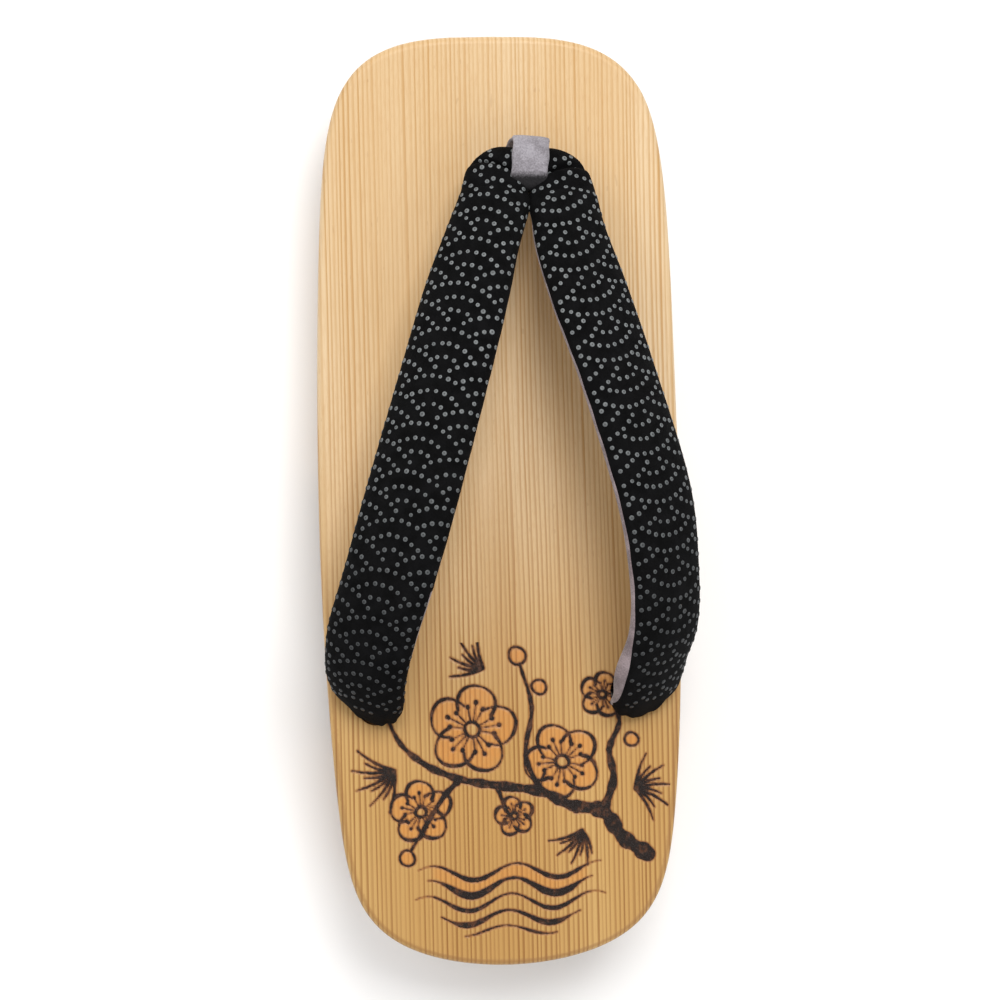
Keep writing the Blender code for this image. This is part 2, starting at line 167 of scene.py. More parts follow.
def add_object(name: str, data: bpy.types.ID) -> bpy.types.Object:
    """Makes an object at the origin and links it to the scene.

    Args:
        name: Name of the object.
        data: Its mesh, light or camera.

    Returns:
        The new object.
    """
    made = bpy.data.objects.new(name, data)
    bpy.context.scene.collection.objects.link(made)
    return made


def solid_mesh(name: str, points: np.ndarray, faces: list) -> bpy.types.Mesh:
    """Makes a mesh whose faces look outwards.

    Args:
        name: Name of the mesh.
        points: Vertices, one a row, in metres.
        faces: Lists of corners, one a face.

    Returns:
        The mesh.
    """
    mesh = bpy.data.meshes.new(name)
    mesh.from_pydata(np.asarray(points, float).tolist(), [], faces)
    mesh.validate()
    if signed_volume(mesh) < 0:
        mesh.flip_normals()
    return mesh


def make_piece(
    name: str, points: np.ndarray, faces: list, slot: Slot, *materials: bpy.types.Material
) -> bpy.types.Object:
    """Makes a smooth shaded closed mesh object at the origin and rides it on the part.

    Args:
        name: Name of the piece.
        points: Vertices, one a row, in metres.
        faces: Arrays of faces, each with its own count of corners.
        slot: Not used.
        materials: Finishes of the piece.

    Returns:
        The new object.
    """
    mesh = solid_mesh(name, points, [row for part in faces for row in part.tolist()])
    mesh.shade_smooth()
    for material in materials:
        mesh.materials.append(material)
    piece = add_object(name, mesh)
    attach(piece, ROOT)
    return piece


def signed_volume(mesh: bpy.types.Mesh) -> float:
    """Volume inside a mesh, a sixth of the sum of a · (b × c) over its triangles; below 0 if inside out.

    Args:
        mesh: A closed mesh.

    Returns:
        The volume, in cubic metres.
    """
    mesh.calc_loop_triangles()
    corners = np.empty(len(mesh.loop_triangles) * 3, np.int32)
    mesh.loop_triangles.foreach_get("vertices", corners)
    points = np.empty(len(mesh.vertices) * 3)
    mesh.vertices.foreach_get("co", points)
    a, b, c = points.reshape(-1, 3)[corners.reshape(-1, 3)].transpose(1, 0, 2)
    return float(np.einsum("ij,ij->", a, np.cross(b, c)) / 6)


def add_attribute(piece: bpy.types.Object, name: str, values: np.ndarray) -> None:
    """Stores one number a vertex for the piece's material to read."""
    attribute = piece.data.attributes.new(name, "FLOAT", "POINT")
    attribute.data.foreach_set("value", np.asarray(values, np.float32).ravel())


def set_face_materials(piece: bpy.types.Object, indices: np.ndarray) -> None:
    """Gives each face the number of its material slot."""
    piece.data.polygons.foreach_set("material_index", np.asarray(indices, np.int32).ravel())
    piece.data.update()


# Finishes


Value = bpy.types.NodeSocket | float
Colour = bpy.types.NodeSocket | tuple


class NodeGraph:
    """A material's nodes, added and joined by short calls."""

    def __init__(self, name: str) -> None:
        """Starts a material that holds one Principled shader.

        Args:
            name: Name of the material.
        """
        self.material = bpy.data.materials.new(name)
        self.material.use_nodes = True
        self.tree = self.material.node_tree
        self.shader = self.tree.nodes["Principled BSDF"]

    def add(self, kind: str, inputs: dict | None = None, **settings: object) -> bpy.types.Node:
        """Adds a node.

        Args:
            kind: Blender's name of the node type.
            inputs: Socket name or number to a value, or to another node's output.
            settings: Properties of the node.

        Returns:
            The new node.
        """
        node = self.tree.nodes.new(kind)
        for key, value in settings.items():
            setattr(node, key, value)
        for key, value in (inputs or {}).items():
            self.put(node, key, value)
        return node

    def put(self, node: bpy.types.Node, key: str | int, value: object) -> None:
        """Sets a socket to a value, or links another node's output to it.

        Args:
            node: The node whose socket it is.
            key: The socket's name or number.
            value: A value, or another node's output.
        """
        if isinstance(value, bpy.types.NodeSocket):
            self.tree.links.new(value, node.inputs[key])
        else:
            node.inputs[key].default_value = value

    def surface(self, **sockets: object) -> None:
        """Sets sockets of the Principled shader; underscores stand for the spaces in their names."""
        for key, value in sockets.items():
            self.put(self.shader, key.replace("_", " "), value)

    def math(self, operation: str, *values: Value, clamp: bool = False) -> bpy.types.NodeSocket:
        """A Math node's result."""
        node = self.add("ShaderNodeMath", dict(enumerate(values)), operation=operation, use_clamp=clamp)
        return node.outputs[0]

    def times(self, first: Value, second: Value, clamp: bool = False) -> bpy.types.NodeSocket:
        """The product of two values, held between 0 and 1 if clamped."""
        return self.math("MULTIPLY", first, second, clamp=clamp)

    def plus(self, first: Value, second: Value) -> bpy.types.NodeSocket:
        """The sum of two values."""
        return self.math("ADD", first, second)

    def axis(self, place: bpy.types.NodeSocket, number: int) -> bpy.types.NodeSocket:
        """One coordinate of a place: 0 for X, 1 for Y and 2 for Z."""
        return self.add("ShaderNodeSeparateXYZ", {0: place}).outputs[number]

    def place(self, scale: tuple = (1.0, 1.0, 1.0), turn: tuple = (0.0, 0.0, 0.0)) -> bpy.types.NodeSocket:
        """Object coordinates, turned and scaled along each axis.

        Args:
            scale: Scale along each axis.
            turn: Turn about each axis, in radians.

        Returns:
            The coordinates' socket.
        """
        source = self.add("ShaderNodeTexCoord").outputs["Object"]
        inputs = {"Vector": source, "Scale": scale, "Rotation": turn}
        return self.add("ShaderNodeMapping", inputs).outputs[0]

    def noise(
        self, place: bpy.types.NodeSocket, scale: float, detail: float = 2.0, rough: float = 0.5
    ) -> bpy.types.NodeSocket:
        """A Noise texture's value, from 0 to 1."""
        inputs = {"Vector": place, "Scale": scale, "Detail": detail, "Roughness": rough}
        return self.add("ShaderNodeTexNoise", inputs).outputs["Fac"]

    def span(
        self,
        value: Value,
        low: float,
        high: float,
        to_low: float = 0.0,
        to_high: float = 1.0,
        eased: bool = True,
    ) -> bpy.types.NodeSocket:
        """Maps a value's range low to high onto another one, held at its ends and eased between them.

        Args:
            value: The value to map.
            low: Start of its range.
            high: End of its range, which may be below the start.
            to_low: Result at the start and before it.
            to_high: Result at the end and past it.
            eased: Whether it is eased or straight between them.

        Returns:
            The result's socket.
        """
        inputs = {"Value": value, "From Min": low, "From Max": high, "To Min": to_low, "To Max": to_high}
        kind = "SMOOTHSTEP" if eased else "LINEAR"
        return self.add("ShaderNodeMapRange", inputs, interpolation_type=kind).outputs[0]

    def mix(self, share: Value, first: Colour, second: Colour) -> bpy.types.NodeSocket:
        """Mixes two colours by a share.

        Args:
            share: Share of the second colour.
            first: A socket or three numbers.
            second: A socket or three numbers.

        Returns:
            The mixed colour's socket.
        """
        node = self.add("ShaderNodeMix", data_type="RGBA")
        self.put(node, 0, share)
        for key, colour in ((6, first), (7, second)):
            self.put(node, key, colour if isinstance(colour, bpy.types.NodeSocket) else (*colour, 1.0))
        return node.outputs[2]

    def attribute(self, name: str) -> bpy.types.NodeSocket:
        """The value of one of the mesh's own attributes."""
        return self.add("ShaderNodeAttribute", attribute_name=name).outputs["Fac"]

    def relief(
        self, height: Value, distance: float, strength: float = 1.0, under: bpy.types.NodeSocket | None = None
    ) -> bpy.types.NodeSocket:
        """A Bump node's normal.

        Args:
            height: The relief's height, from 0 to 1.
            distance: Height of 1, in metres.
            strength: Share of the relief that shows.
            under: A normal to lay it over.

        Returns:
            The normal's socket.
        """
        inputs = {"Height": height, "Distance": distance, "Strength": strength}
        if under is not None:
            inputs["Normal"] = under
        return self.add("ShaderNodeBump", inputs).outputs[0]


@dataclass(frozen=True)
class CedarFinish:
    """Straight-grained cedar, brushed so that its late wood stands up, with a thin satin lacquer."""

    ring_spacing: float = 1.28 * MM
    wander: float = 2.0
    late_rise: tuple = (0.36, 0.80)
    late_fall: tuple = (0.92, 1.0)
    late_share: float = 0.92
    line_strengths: tuple = (0.40, 1.0)
    # Places along Y over which the wood turns to its heel tones: partly a warmer wood tone, partly painted
    # shade for the light falling off towards the heel
    heel_shade_places: tuple = (0.045, -0.080)
    grain_depth: float = 0.00016
    crust_depth: float = 0.00035
    specular: float = 0.26
    pale: tuple = (0.655, 0.485, 0.290)
    early: tuple = (0.60, 0.41, 0.212)
    # Heel colours and the heel's late wood, darker than the toe's: partly a warmer wood tone, partly painted
    # shade for the light falling off towards the heel
    heel_pale: tuple = (0.515, 0.315, 0.112)
    heel_early: tuple = (0.44, 0.245, 0.074)
    toe_late: tuple = (0.47, 0.262, 0.092)
    late: tuple = (0.245, 0.105, 0.025)
    warm: tuple = (0.46, 0.23, 0.072)
    end_grain: tuple = (0.30, 0.145, 0.05)
    char: tuple = (0.012, 0.006, 0.004)
    ember: tuple = (0.085, 0.026, 0.008)
    scorch: tuple = (0.26, 0.10, 0.028)
    toast: tuple = (0.55, 0.22, 0.045)

    def build(self) -> bpy.types.Material:
        """Makes the material.

        The growth rings are a saw wave across X: wood pales, darkens slowly into late wood and starts again.
        A noise that hardly changes along Y bends their spacing, and a second one makes some rings faint. The
        wood is warmer and deeper towards the heel, by its place along Y: partly a warmer wood tone and partly
        painted shade where the light falls off towards the heel. Attribute "burn" is the distance to the
        drawing's lines in millimetres, "toast" the share of its tinted areas and "rim" the distance to the
        board's edge in millimetres.

        Returns:
            The finished material.
        """
        g = NodeGraph("brushed_cedar")
        straight = g.place((1.0, 0.012, 0.22), (0.0, 0.05, 0.004))
        wander = g.noise(straight, 210.0, 3.0, 0.6)
        across = g.times(g.axis(straight, 0), 1.0 / self.ring_spacing)
        across = g.plus(across, g.times(wander, self.wander))
        ring = g.math("FRACT", across)
        number = g.math("FLOOR", across)
        lot = g.add("ShaderNodeTexWhiteNoise", {"W": number}, noise_dimensions="1D").outputs["Value"]
        strength = g.span(lot, 0.0, 1.0, *self.line_strengths, eased=False)
        fade = g.noise(g.place((1.0, 0.10, 1.0)), 90.0, 2.0)
        strength = g.times(strength, g.span(fade, 0.25, 0.75, 0.70, 1.20), clamp=True)
        rise, fall = g.span(ring, *self.late_rise), g.span(ring, *self.late_fall, 1.0, 0.0)
        line = g.times(g.times(rise, fall), strength)
        fibre = g.noise(g.place((1.0, 0.030, 1.0)), 3400.0, 3.0, 0.65)
        broad = g.noise(g.place((1.0, 0.10, 0.5)), 38.0, 2.0)
        # Painted shade: the wood darkens towards the heel, partly a warmer tone and partly painted shade where
        # the light falls off
        heel_tone_and_shade = g.span(g.axis(g.place(), 1), *self.heel_shade_places)
        tone = g.span(broad, 0.32, 0.68)
        toe_wood, heel_wood = g.mix(tone, self.early, self.pale), g.mix(tone, self.heel_early, self.heel_pale)
        wood = g.mix(heel_tone_and_shade, toe_wood, heel_wood)
        wood = g.mix(g.span(fibre, 0.40, 0.80, 0.0, 0.34), wood, self.warm)
        late = g.mix(heel_tone_and_shade, self.toe_late, self.late)
        wood = g.mix(g.times(line, self.late_share), wood, late)
        fleck_spot = g.noise(g.place((1.0, 0.22, 1.0)), 1300.0, 0.0)
        wood = g.mix(g.span(fleck_spot, 0.80, 0.83, 0.0, 0.18), wood, self.end_grain)
        rim = g.attribute("rim")
        rough_rim = g.plus(rim, g.times(g.noise(g.place(), 900.0, 2.0), 0.5))
        edge_line = g.times(g.span(rough_rim, 1.35, 1.75), g.span(rough_rim, 1.9, 2.5, 1.0, 0.0))
        edge_share = g.times(edge_line, g.span(heel_tone_and_shade, 0.35, 0.95, 0.0, 0.5))
        wood = g.mix(edge_share, wood, self.end_grain)
        wood = g.mix(g.span(rim, -9.0, -0.2, 0.34, 0.0), wood, self.end_grain)
        colour, char_share = self.burn_colours(g, wood, line)
        height = g.plus(g.times(line, 0.8), g.times(fibre, 0.35))
        normal = g.relief(height, self.grain_depth, 0.55)
        crust = g.noise(g.place(), 2600.0, 3.0, 0.7)
        normal = g.relief(g.times(crust, char_share), self.crust_depth, 1.0, normal)
        sheen = g.span(g.noise(g.place((1.0, 0.3, 1.0)), 130.0, 2.0), 0.3, 0.7, 0.36, 0.48)
        sheen = g.plus(sheen, g.times(line, -0.08))
        gloss = g.span(crust, 0.35, 0.65, 0.20, 0.62)
        rough = g.add("ShaderNodeMix", {0: char_share, 2: sheen, 3: gloss}, data_type="FLOAT").outputs[0]
        g.surface(Base_Color=colour, Roughness=rough, Normal=normal, Specular_IOR_Level=self.specular)
        return g.material

    def burn_colours(
        self, g: NodeGraph, wood: bpy.types.NodeSocket, line: bpy.types.NodeSocket
    ) -> tuple[bpy.types.NodeSocket, bpy.types.NodeSocket]:
        """Lays the drawing over the wood: tinted areas, a scorched halo, brown ember edges and black char.

        Args:
            g: The material's nodes.
            wood: The wood's colour socket.
            line: Share of late wood, which resists the tint less.

        Returns:
            The colour socket, and the share of char.
        """
        mottle = g.noise(g.place((1.0, 0.6, 1.0)), 850.0, 3.0, 0.6)
        ragged = g.math("MULTIPLY_ADD", mottle, 0.55, -0.28)
        distance = g.plus(g.attribute("burn"), ragged)
        stain = g.times(g.attribute("toast"), g.span(mottle, 0.25, 0.75, 0.50, 0.80))
        toasted = g.mix(g.times(line, 0.5), self.toast, self.scorch)
        colour = g.mix(stain, wood, toasted)
        colour = g.mix(g.span(distance, 0.02, 0.50, 0.75, 0.0), colour, self.scorch)
        colour = g.mix(g.span(distance, -0.12, 0.14, 0.95, 0.0), colour, self.ember)
        patches = g.noise(g.place((1.0, 0.8, 1.0)), 520.0, 2.0, 0.6)
        depth = g.span(distance, -0.26, 0.0, 1.0, 0.0)
        char_share = g.times(depth, g.span(patches, 0.30, 0.52, 0.35, 1.0))
        return g.mix(char_share, colour, self.char), char_share


@dataclass(frozen=True)
class ClothFinish:
    """A matt cloth: woven, napped or felted, by its grain size and sheen."""

    name: str
    colour: tuple
    light: tuple
    grain: float
    depth: float
    sheen: float
    roughness: float = 0.92
    blotch: float = 0.5
    specular: float = 0.16
    sheen_roughness: float = 0.45
    # dark: colour of a painted shadow, laid on between the two places along Y given for the cloth's shadowed
    # end
    dark: tuple = (0.004, 0.004, 0.004)
    painted_shadow_end: tuple = ()

    def build(self) -> bpy.types.Material:
        """Makes the material: two noises mix two tones, and the finer one is the nap's relief.

        The painted shadow end, if one is given, is the pair of places along Y between which the cloth turns
        black: a painted shadow where the band curves down behind the strap's neck.

        Returns:
            The finished material.
        """
        g = NodeGraph(self.name)
        place = g.place()
        fine = g.noise(place, 1.0 / self.grain, 3.0, 0.7)
        broad = g.noise(place, 0.09 / self.grain, 2.0)
        tone = g.plus(g.times(fine, 1.0 - self.blotch), g.times(broad, self.blotch))
        colour = g.mix(g.span(tone, 0.36, 0.66), self.colour, self.light)
        if self.painted_shadow_end:
            # Painted shadow: the cloth turns black towards its heel-side end, where the band curves down behind
            # the strap's neck
            along = g.math("MULTIPLY_ADD", fine, 0.0012, g.axis(place, 1))
            colour = g.mix(g.span(along, *self.painted_shadow_end, 0.0, 0.94), colour, self.dark)
        g.surface(Base_Color=colour, Normal=g.relief(fine, self.depth), Roughness=self.roughness)
        g.surface(Sheen_Weight=self.sheen, Sheen_Roughness=self.sheen_roughness)
        g.surface(Specular_IOR_Level=self.specular)
        return g.material


@dataclass(frozen=True)
class DotFinish:
    """Small grey lacquer dots with a darker pit: attribute "pit" is 0 at a dot's middle and 1 at its edge."""

    # rim and middle are the dots' tones lit at the toe end; the rear tones are painted shade that darkens the
    # dots towards the heel
    rim: tuple = (0.185, 0.198, 0.202)
    middle: tuple = (0.048, 0.052, 0.054)
    shaded_rear_rim: tuple = (0.038, 0.041, 0.043)
    shaded_rear_middle: tuple = (0.010, 0.011, 0.012)
    shade_to_light_places: tuple = (-0.055, 0.052)
    roughness: float = 0.42
    specular: float = 0.28

    def build(self) -> bpy.types.Material:
        """Makes the material: the pit mixes two tones, blotched by a noise, and painted shade darkens the dots
        towards the heel.

        Returns:
            The finished material.
        """
        g = NodeGraph("lacquer_dots")
        place = g.place()
        # Painted shade: the dots go from their lit toe-end tones to darker rear tones towards the heel
        front = g.span(g.axis(place, 1), *self.shade_to_light_places)
        worn = g.span(g.noise(place, 620.0, 2.0), 0.3, 0.7, 0.50, 1.0)
        share = g.times(g.span(g.attribute("pit"), 0.15, 0.62), worn)
        rim, middle = g.mix(front, self.shaded_rear_rim, self.rim), g.mix(front, self.shaded_rear_middle, self.middle)
        colour = g.mix(share, middle, rim)
        g.surface(Base_Color=colour, Roughness=self.roughness, Specular_IOR_Level=self.specular)
        return g.material


# The burnt drawing


# Millimetres from the lines given to every place that is well off them
FAR = 3.0


@dataclass
class Stroke:
    """A burnt line: a path with a width at each point, in millimetres."""

    points: np.ndarray
    widths: np.ndarray
    halo: float = 1.5

    def distance(self, x: np.ndarray, y: np.ndarray) -> np.ndarray:
        """Distance from each place to the stroke's edge, below 0 inside it.

        It is the least, over the stroke's straight bits, of the distance to the nearest point of the bit less
        half the width there. Places past the halo of every bit get the distance FAR.

        Args:
            x: Places across the board, in millimetres.
            y: Places along the board, in millimetres.

        Returns:
            The signed distances, in millimetres.
        """
        best = np.full(x.shape, FAR)
        half = self.widths / 2
        for start, end, here, there in zip(self.points, self.points[1:], half, half[1:]):
            reach = max(here, there) + self.halo
            low, high = np.minimum(start, end) - reach, np.maximum(start, end) + reach
            near = (x > low[0]) & (x < high[0]) & (y > low[1]) & (y < high[1])
            if not near.any():
                continue
            along = end - start
            place = np.stack([x[near], y[near]], axis=-1) - start
            share = np.clip(place @ along / max(along @ along, 1e-9), 0.0, 1.0)
            gap = np.linalg.norm(place - share[:, None] * along, axis=-1) - (here + (there - here) * share)
            best[near] = np.minimum(best[near], gap)
        return best


@dataclass
class BurntDrawing:
    """A plum branch in flower, sprays of pine needles and running water, burnt into the heel end."""

    line_width: float = 0.82
    petal_place: float = 0.56
    petal_radius: float = 0.43
    petal_arc: float = 2.02
    flowers: list = field(
        default_factory=lambda: [
            # x, y, radius in millimetres, turn in degrees
            (-9.5, -62.5, 12.2, 8.0),
            (15.0, -72.0, 10.6, 40.0),
            (-24.0, -84.5, 8.6, 22.0),
            (26.5, -54.0, 6.2, 5.0),
            (1.5, -86.5, 5.4, 30.0),
        ]
    )
    branches: list = field(
        default_factory=lambda: [
            # points as x, y, width in millimetres
            [(38, -98, 4.2), (31, -93, 3.8), (26, -86, 3.9), (17, -84, 3.0), (9, -80, 2.7), (-3, -78, 2.4),
             (-13, -76, 2.0), (-22, -72, 1.8), (-29, -66, 1.3), (-33, -58, 0.8)],
            [(26, -86, 2.6), (29, -77, 2.1), (28, -69, 1.7), (31, -62, 1.3), (30, -58, 0.9)],
            [(-13, -76, 1.6), (-18, -81, 1.5), (-27, -95, 0.9)],
            [(9, -80, 1.8), (5, -70, 1.4), (7, -57, 1.2), (4, -45, 0.7)],
            [(-3, -78, 1.4), (-1, -84, 1.0), (1, -87, 0.8)],
        ]
    )
    buds: list = field(
        default_factory=lambda: [
            # x, y, radius in millimetres
            (-33.6, -55.6, 2.3),
            (3.4, -42.8, 2.4),
            (9.2, -51.5, 2.0),
            (-28.0, -97.0, 2.1),
            (34.2, -66.4, 1.9),
        ]
    )
    sprays: list = field(
        default_factory=lambda: [
            # root x and y, first and last direction in degrees, needles, length in millimetres
            (-31.0, -73.0, 150.0, 262.0, 9, 11.5),
            (35.0, -80.0, -62.0, 72.0, 9, 10.0),
            (-6.0, -46.0, 98.0, 192.0, 7, 9.5),
            (20.0, -91.0, 196.0, 292.0, 8, 9.5),
        ]
    )
    currents: list = field(
        default_factory=lambda: [
            # mean y, height of the swell, its length, shift in x, half span in x, width, in millimetres
            (-101.5, 2.1, 23.0, 4.0, 25.0, 1.0),
            (-105.6, 2.3, 23.0, 4.8, 22.5, 1.5),
            (-109.8, 2.2, 23.0, 5.6, 26.0, 0.9),
            (-114.0, 1.9, 23.0, 6.4, 19.0, 1.2),
            (-117.6, 1.3, 23.0, 7.2, 12.5, 0.8),
        ]
    )

    def strokes(self) -> list[Stroke]:
        """All of the drawing's lines.

        Returns:
            The strokes, back to front.
        """
        made = [self.branch(rows) for rows in self.branches]
        for flower in self.flowers:
            made += self.flower(*flower)
        made += [self.ring(x, y, radius, 0.7) for x, y, radius in self.buds]
        for spray in self.sprays:
            made += self.spray(*spray)
        return made + [self.current(*current) for current in self.currents]

    def branch(self, rows: list) -> Stroke:
        """A branch: a Catmull-Rom curve through its table, whose width swells at the knots.

        Args:
            rows: Rows of x, y and width, in millimetres.

        Returns:
            The stroke.
        """
        table = spline(np.array(rows, float), 5)
        knots = 0.22 * np.sin(np.arange(len(table)) * 1.9) * table[:, 2]
        return Stroke(table[:, :2], np.maximum(table[:, 2] + knots, 0.6))

    def ring(self, x: float, y: float, radius: float, width: float, steps: int = 20) -> Stroke:
        """A circle whose radius wavers by a twentieth, as one drawn by hand.

        Args:
            x: Its middle, in millimetres.
            y: Its middle, in millimetres.
            radius: Its radius.
            width: Width of the line.
            steps: Straight bits round it.

        Returns:
            The stroke.
        """
        turn = np.linspace(0.0, 2 * math.pi, steps + 1)
        wavered = radius * (1 + 0.05 * np.sin(2 * turn + x) + 0.03 * np.sin(3 * turn + y))
        points = np.column_stack([x + wavered * np.cos(turn), y + wavered * np.sin(turn)])
        return Stroke(points, np.full(len(points), width))

    def petal_centres(self, x: float, y: float, radius: float, turn: float) -> np.ndarray:
        """Middles of a flower's five petals, evenly round it at a set share of its radius.

        Args:
            x: Place of the flower's middle across the board, in millimetres.
            y: Place along the board.
            radius: Reach of the petals.
            turn: Turn of the first petal in degrees.

        Returns:
            One (x, y) pair a petal.
        """
        angles = math.radians(turn) + 2 * math.pi * np.arange(5) / 5
        reach = self.petal_place * radius
        return np.column_stack([x + reach * np.cos(angles), y + reach * np.sin(angles)])

    def flower(self, x: float, y: float, radius: float, turn: float) -> list[Stroke]:
        """A plum flower: the outer arc of each petal, a small ring and stamens that end in dots.

        Args:
            x: Place of the flower's middle across the board, in millimetres.
            y: Place along the board.
            radius: Reach of the petals.
            turn: Turn of the first petal in degrees.

        Returns:
            The flower's strokes.
        """
        made = []
        petal = self.petal_radius * radius
        for number, (px, py) in enumerate(self.petal_centres(x, y, radius, turn)):
            angle = math.radians(turn) + 2 * math.pi * number / 5
            arc = angle + np.linspace(-self.petal_arc, self.petal_arc, 22)
            wavered = petal * (1 + 0.035 * np.sin(3 * arc + number))
            points = np.column_stack([px + wavered * np.cos(arc), py + wavered * np.sin(arc)])
            made.append(Stroke(points, self.line_width * (1 + 0.35 * np.cos(2 * arc + number))))
            for offset in (-0.34, 0.0, 0.34):
                way = np.array([math.cos(angle + offset), math.sin(angle + offset)])
                reach = radius * (0.50 if offset else 0.60)
                stem = np.array([x, y]) + np.outer([0.20 * radius, reach], way)
                made.append(Stroke(stem, np.array([0.42, 0.36])))
                made.append(Stroke(np.vstack([stem[-1], stem[-1] + way * 0.2]), np.full(2, 0.105 * radius)))
        return made + [self.ring(x, y, 0.17 * radius, 0.9, 12)]

    def spray(
        self, x: float, y: float, first: float, last: float, needles: int, length: float
    ) -> list[Stroke]:
        """Pine needles from one root, long and short by turns, each a taper from 1.1 mm to a point.

        Args:
            x: Place of the root across the board, in millimetres.
            y: Place along the board.
            first: Direction of the first needle in degrees.
            last: Direction of the last needle.
            needles: Number of needles.
            length: Length of the long ones.

        Returns:
            One stroke a needle.
        """
        made = []
        for number, angle in enumerate(np.radians(np.linspace(first, last, needles))):
            reach = length * (1.0 if number % 2 == 0 else 0.72)
            way = np.array([math.cos(angle), math.sin(angle)])
            side = np.array([-way[1], way[0]]) * 0.06 * length
            share = np.linspace(0.0, 1.0, 5)[:, None]
            points = np.array([x, y]) + share * reach * way + np.sin(share * math.pi) * side
            made.append(Stroke(points, np.linspace(1.15, 0.5, 5)))
        return made

    def current(
        self, level: float, swell: float, length: float, shift: float, span: float, width: float
    ) -> Stroke:
        """A line of running water: y = level + swell · sin(2π(x + shift) / length), thicker in its troughs.

        Args:
            level: Mean y of the line, in millimetres.
            swell: Height of the waves.
            length: Length of a wave.
            shift: Shift of the waves along x.
            span: Half the line's reach in x.
            width: Width of the line.

        Returns:
            The stroke.
        """
        x = np.linspace(-span, span, 48)
        phase = 2 * math.pi * (x + shift) / length
        taper = np.clip((span - np.abs(x)) / 6.0, 0.35, 1.0)
        line = np.column_stack([x, level + swell * np.sin(phase)])
        return Stroke(line, width * (1 - 0.45 * np.sin(phase)) * taper)

    def line_field(self, x: np.ndarray, y: np.ndarray) -> np.ndarray:
        """Signed distance to the nearest line, in millimetres, at most FAR.

        Args:
            x: Places across the board, in millimetres.
            y: Places along the board, in millimetres.

        Returns:
            The distances.
        """
        return np.minimum.reduce([stroke.distance(x, y) for stroke in self.strokes()])

    def tint_field(self, x: np.ndarray, y: np.ndarray) -> np.ndarray:
        """Share of tint: full in the petals and buds and between two of the currents, soft at their edges.

        Args:
            x: Places across the board, in millimetres.
            y: Places along the board, in millimetres.

        Returns:
            The shares.
        """
        share = np.zeros(x.shape)
        for flower in self.flowers:
            for px, py in self.petal_centres(*flower):
                gap = np.hypot(x - px, y - py) - self.petal_radius * flower[2]
                share = np.maximum(share, smooth(-gap / 0.9))
        for bx, by, radius in self.buds:
            share = np.maximum(share, 1.15 * smooth((radius - np.hypot(x - bx, y - by)) / 0.6))
        upper, lower = self.currents[0], self.currents[1]
        swell = np.sin(2 * math.pi * (x + upper[3]) / upper[2])
        band = smooth((upper[0] + upper[1] * swell - y) / 0.8)
        band = band * smooth((y - lower[0] - lower[1] * swell) / 0.8)
        return np.maximum(share, 0.8 * band * smooth((lower[4] - np.abs(x)) / 3.0))


# The board


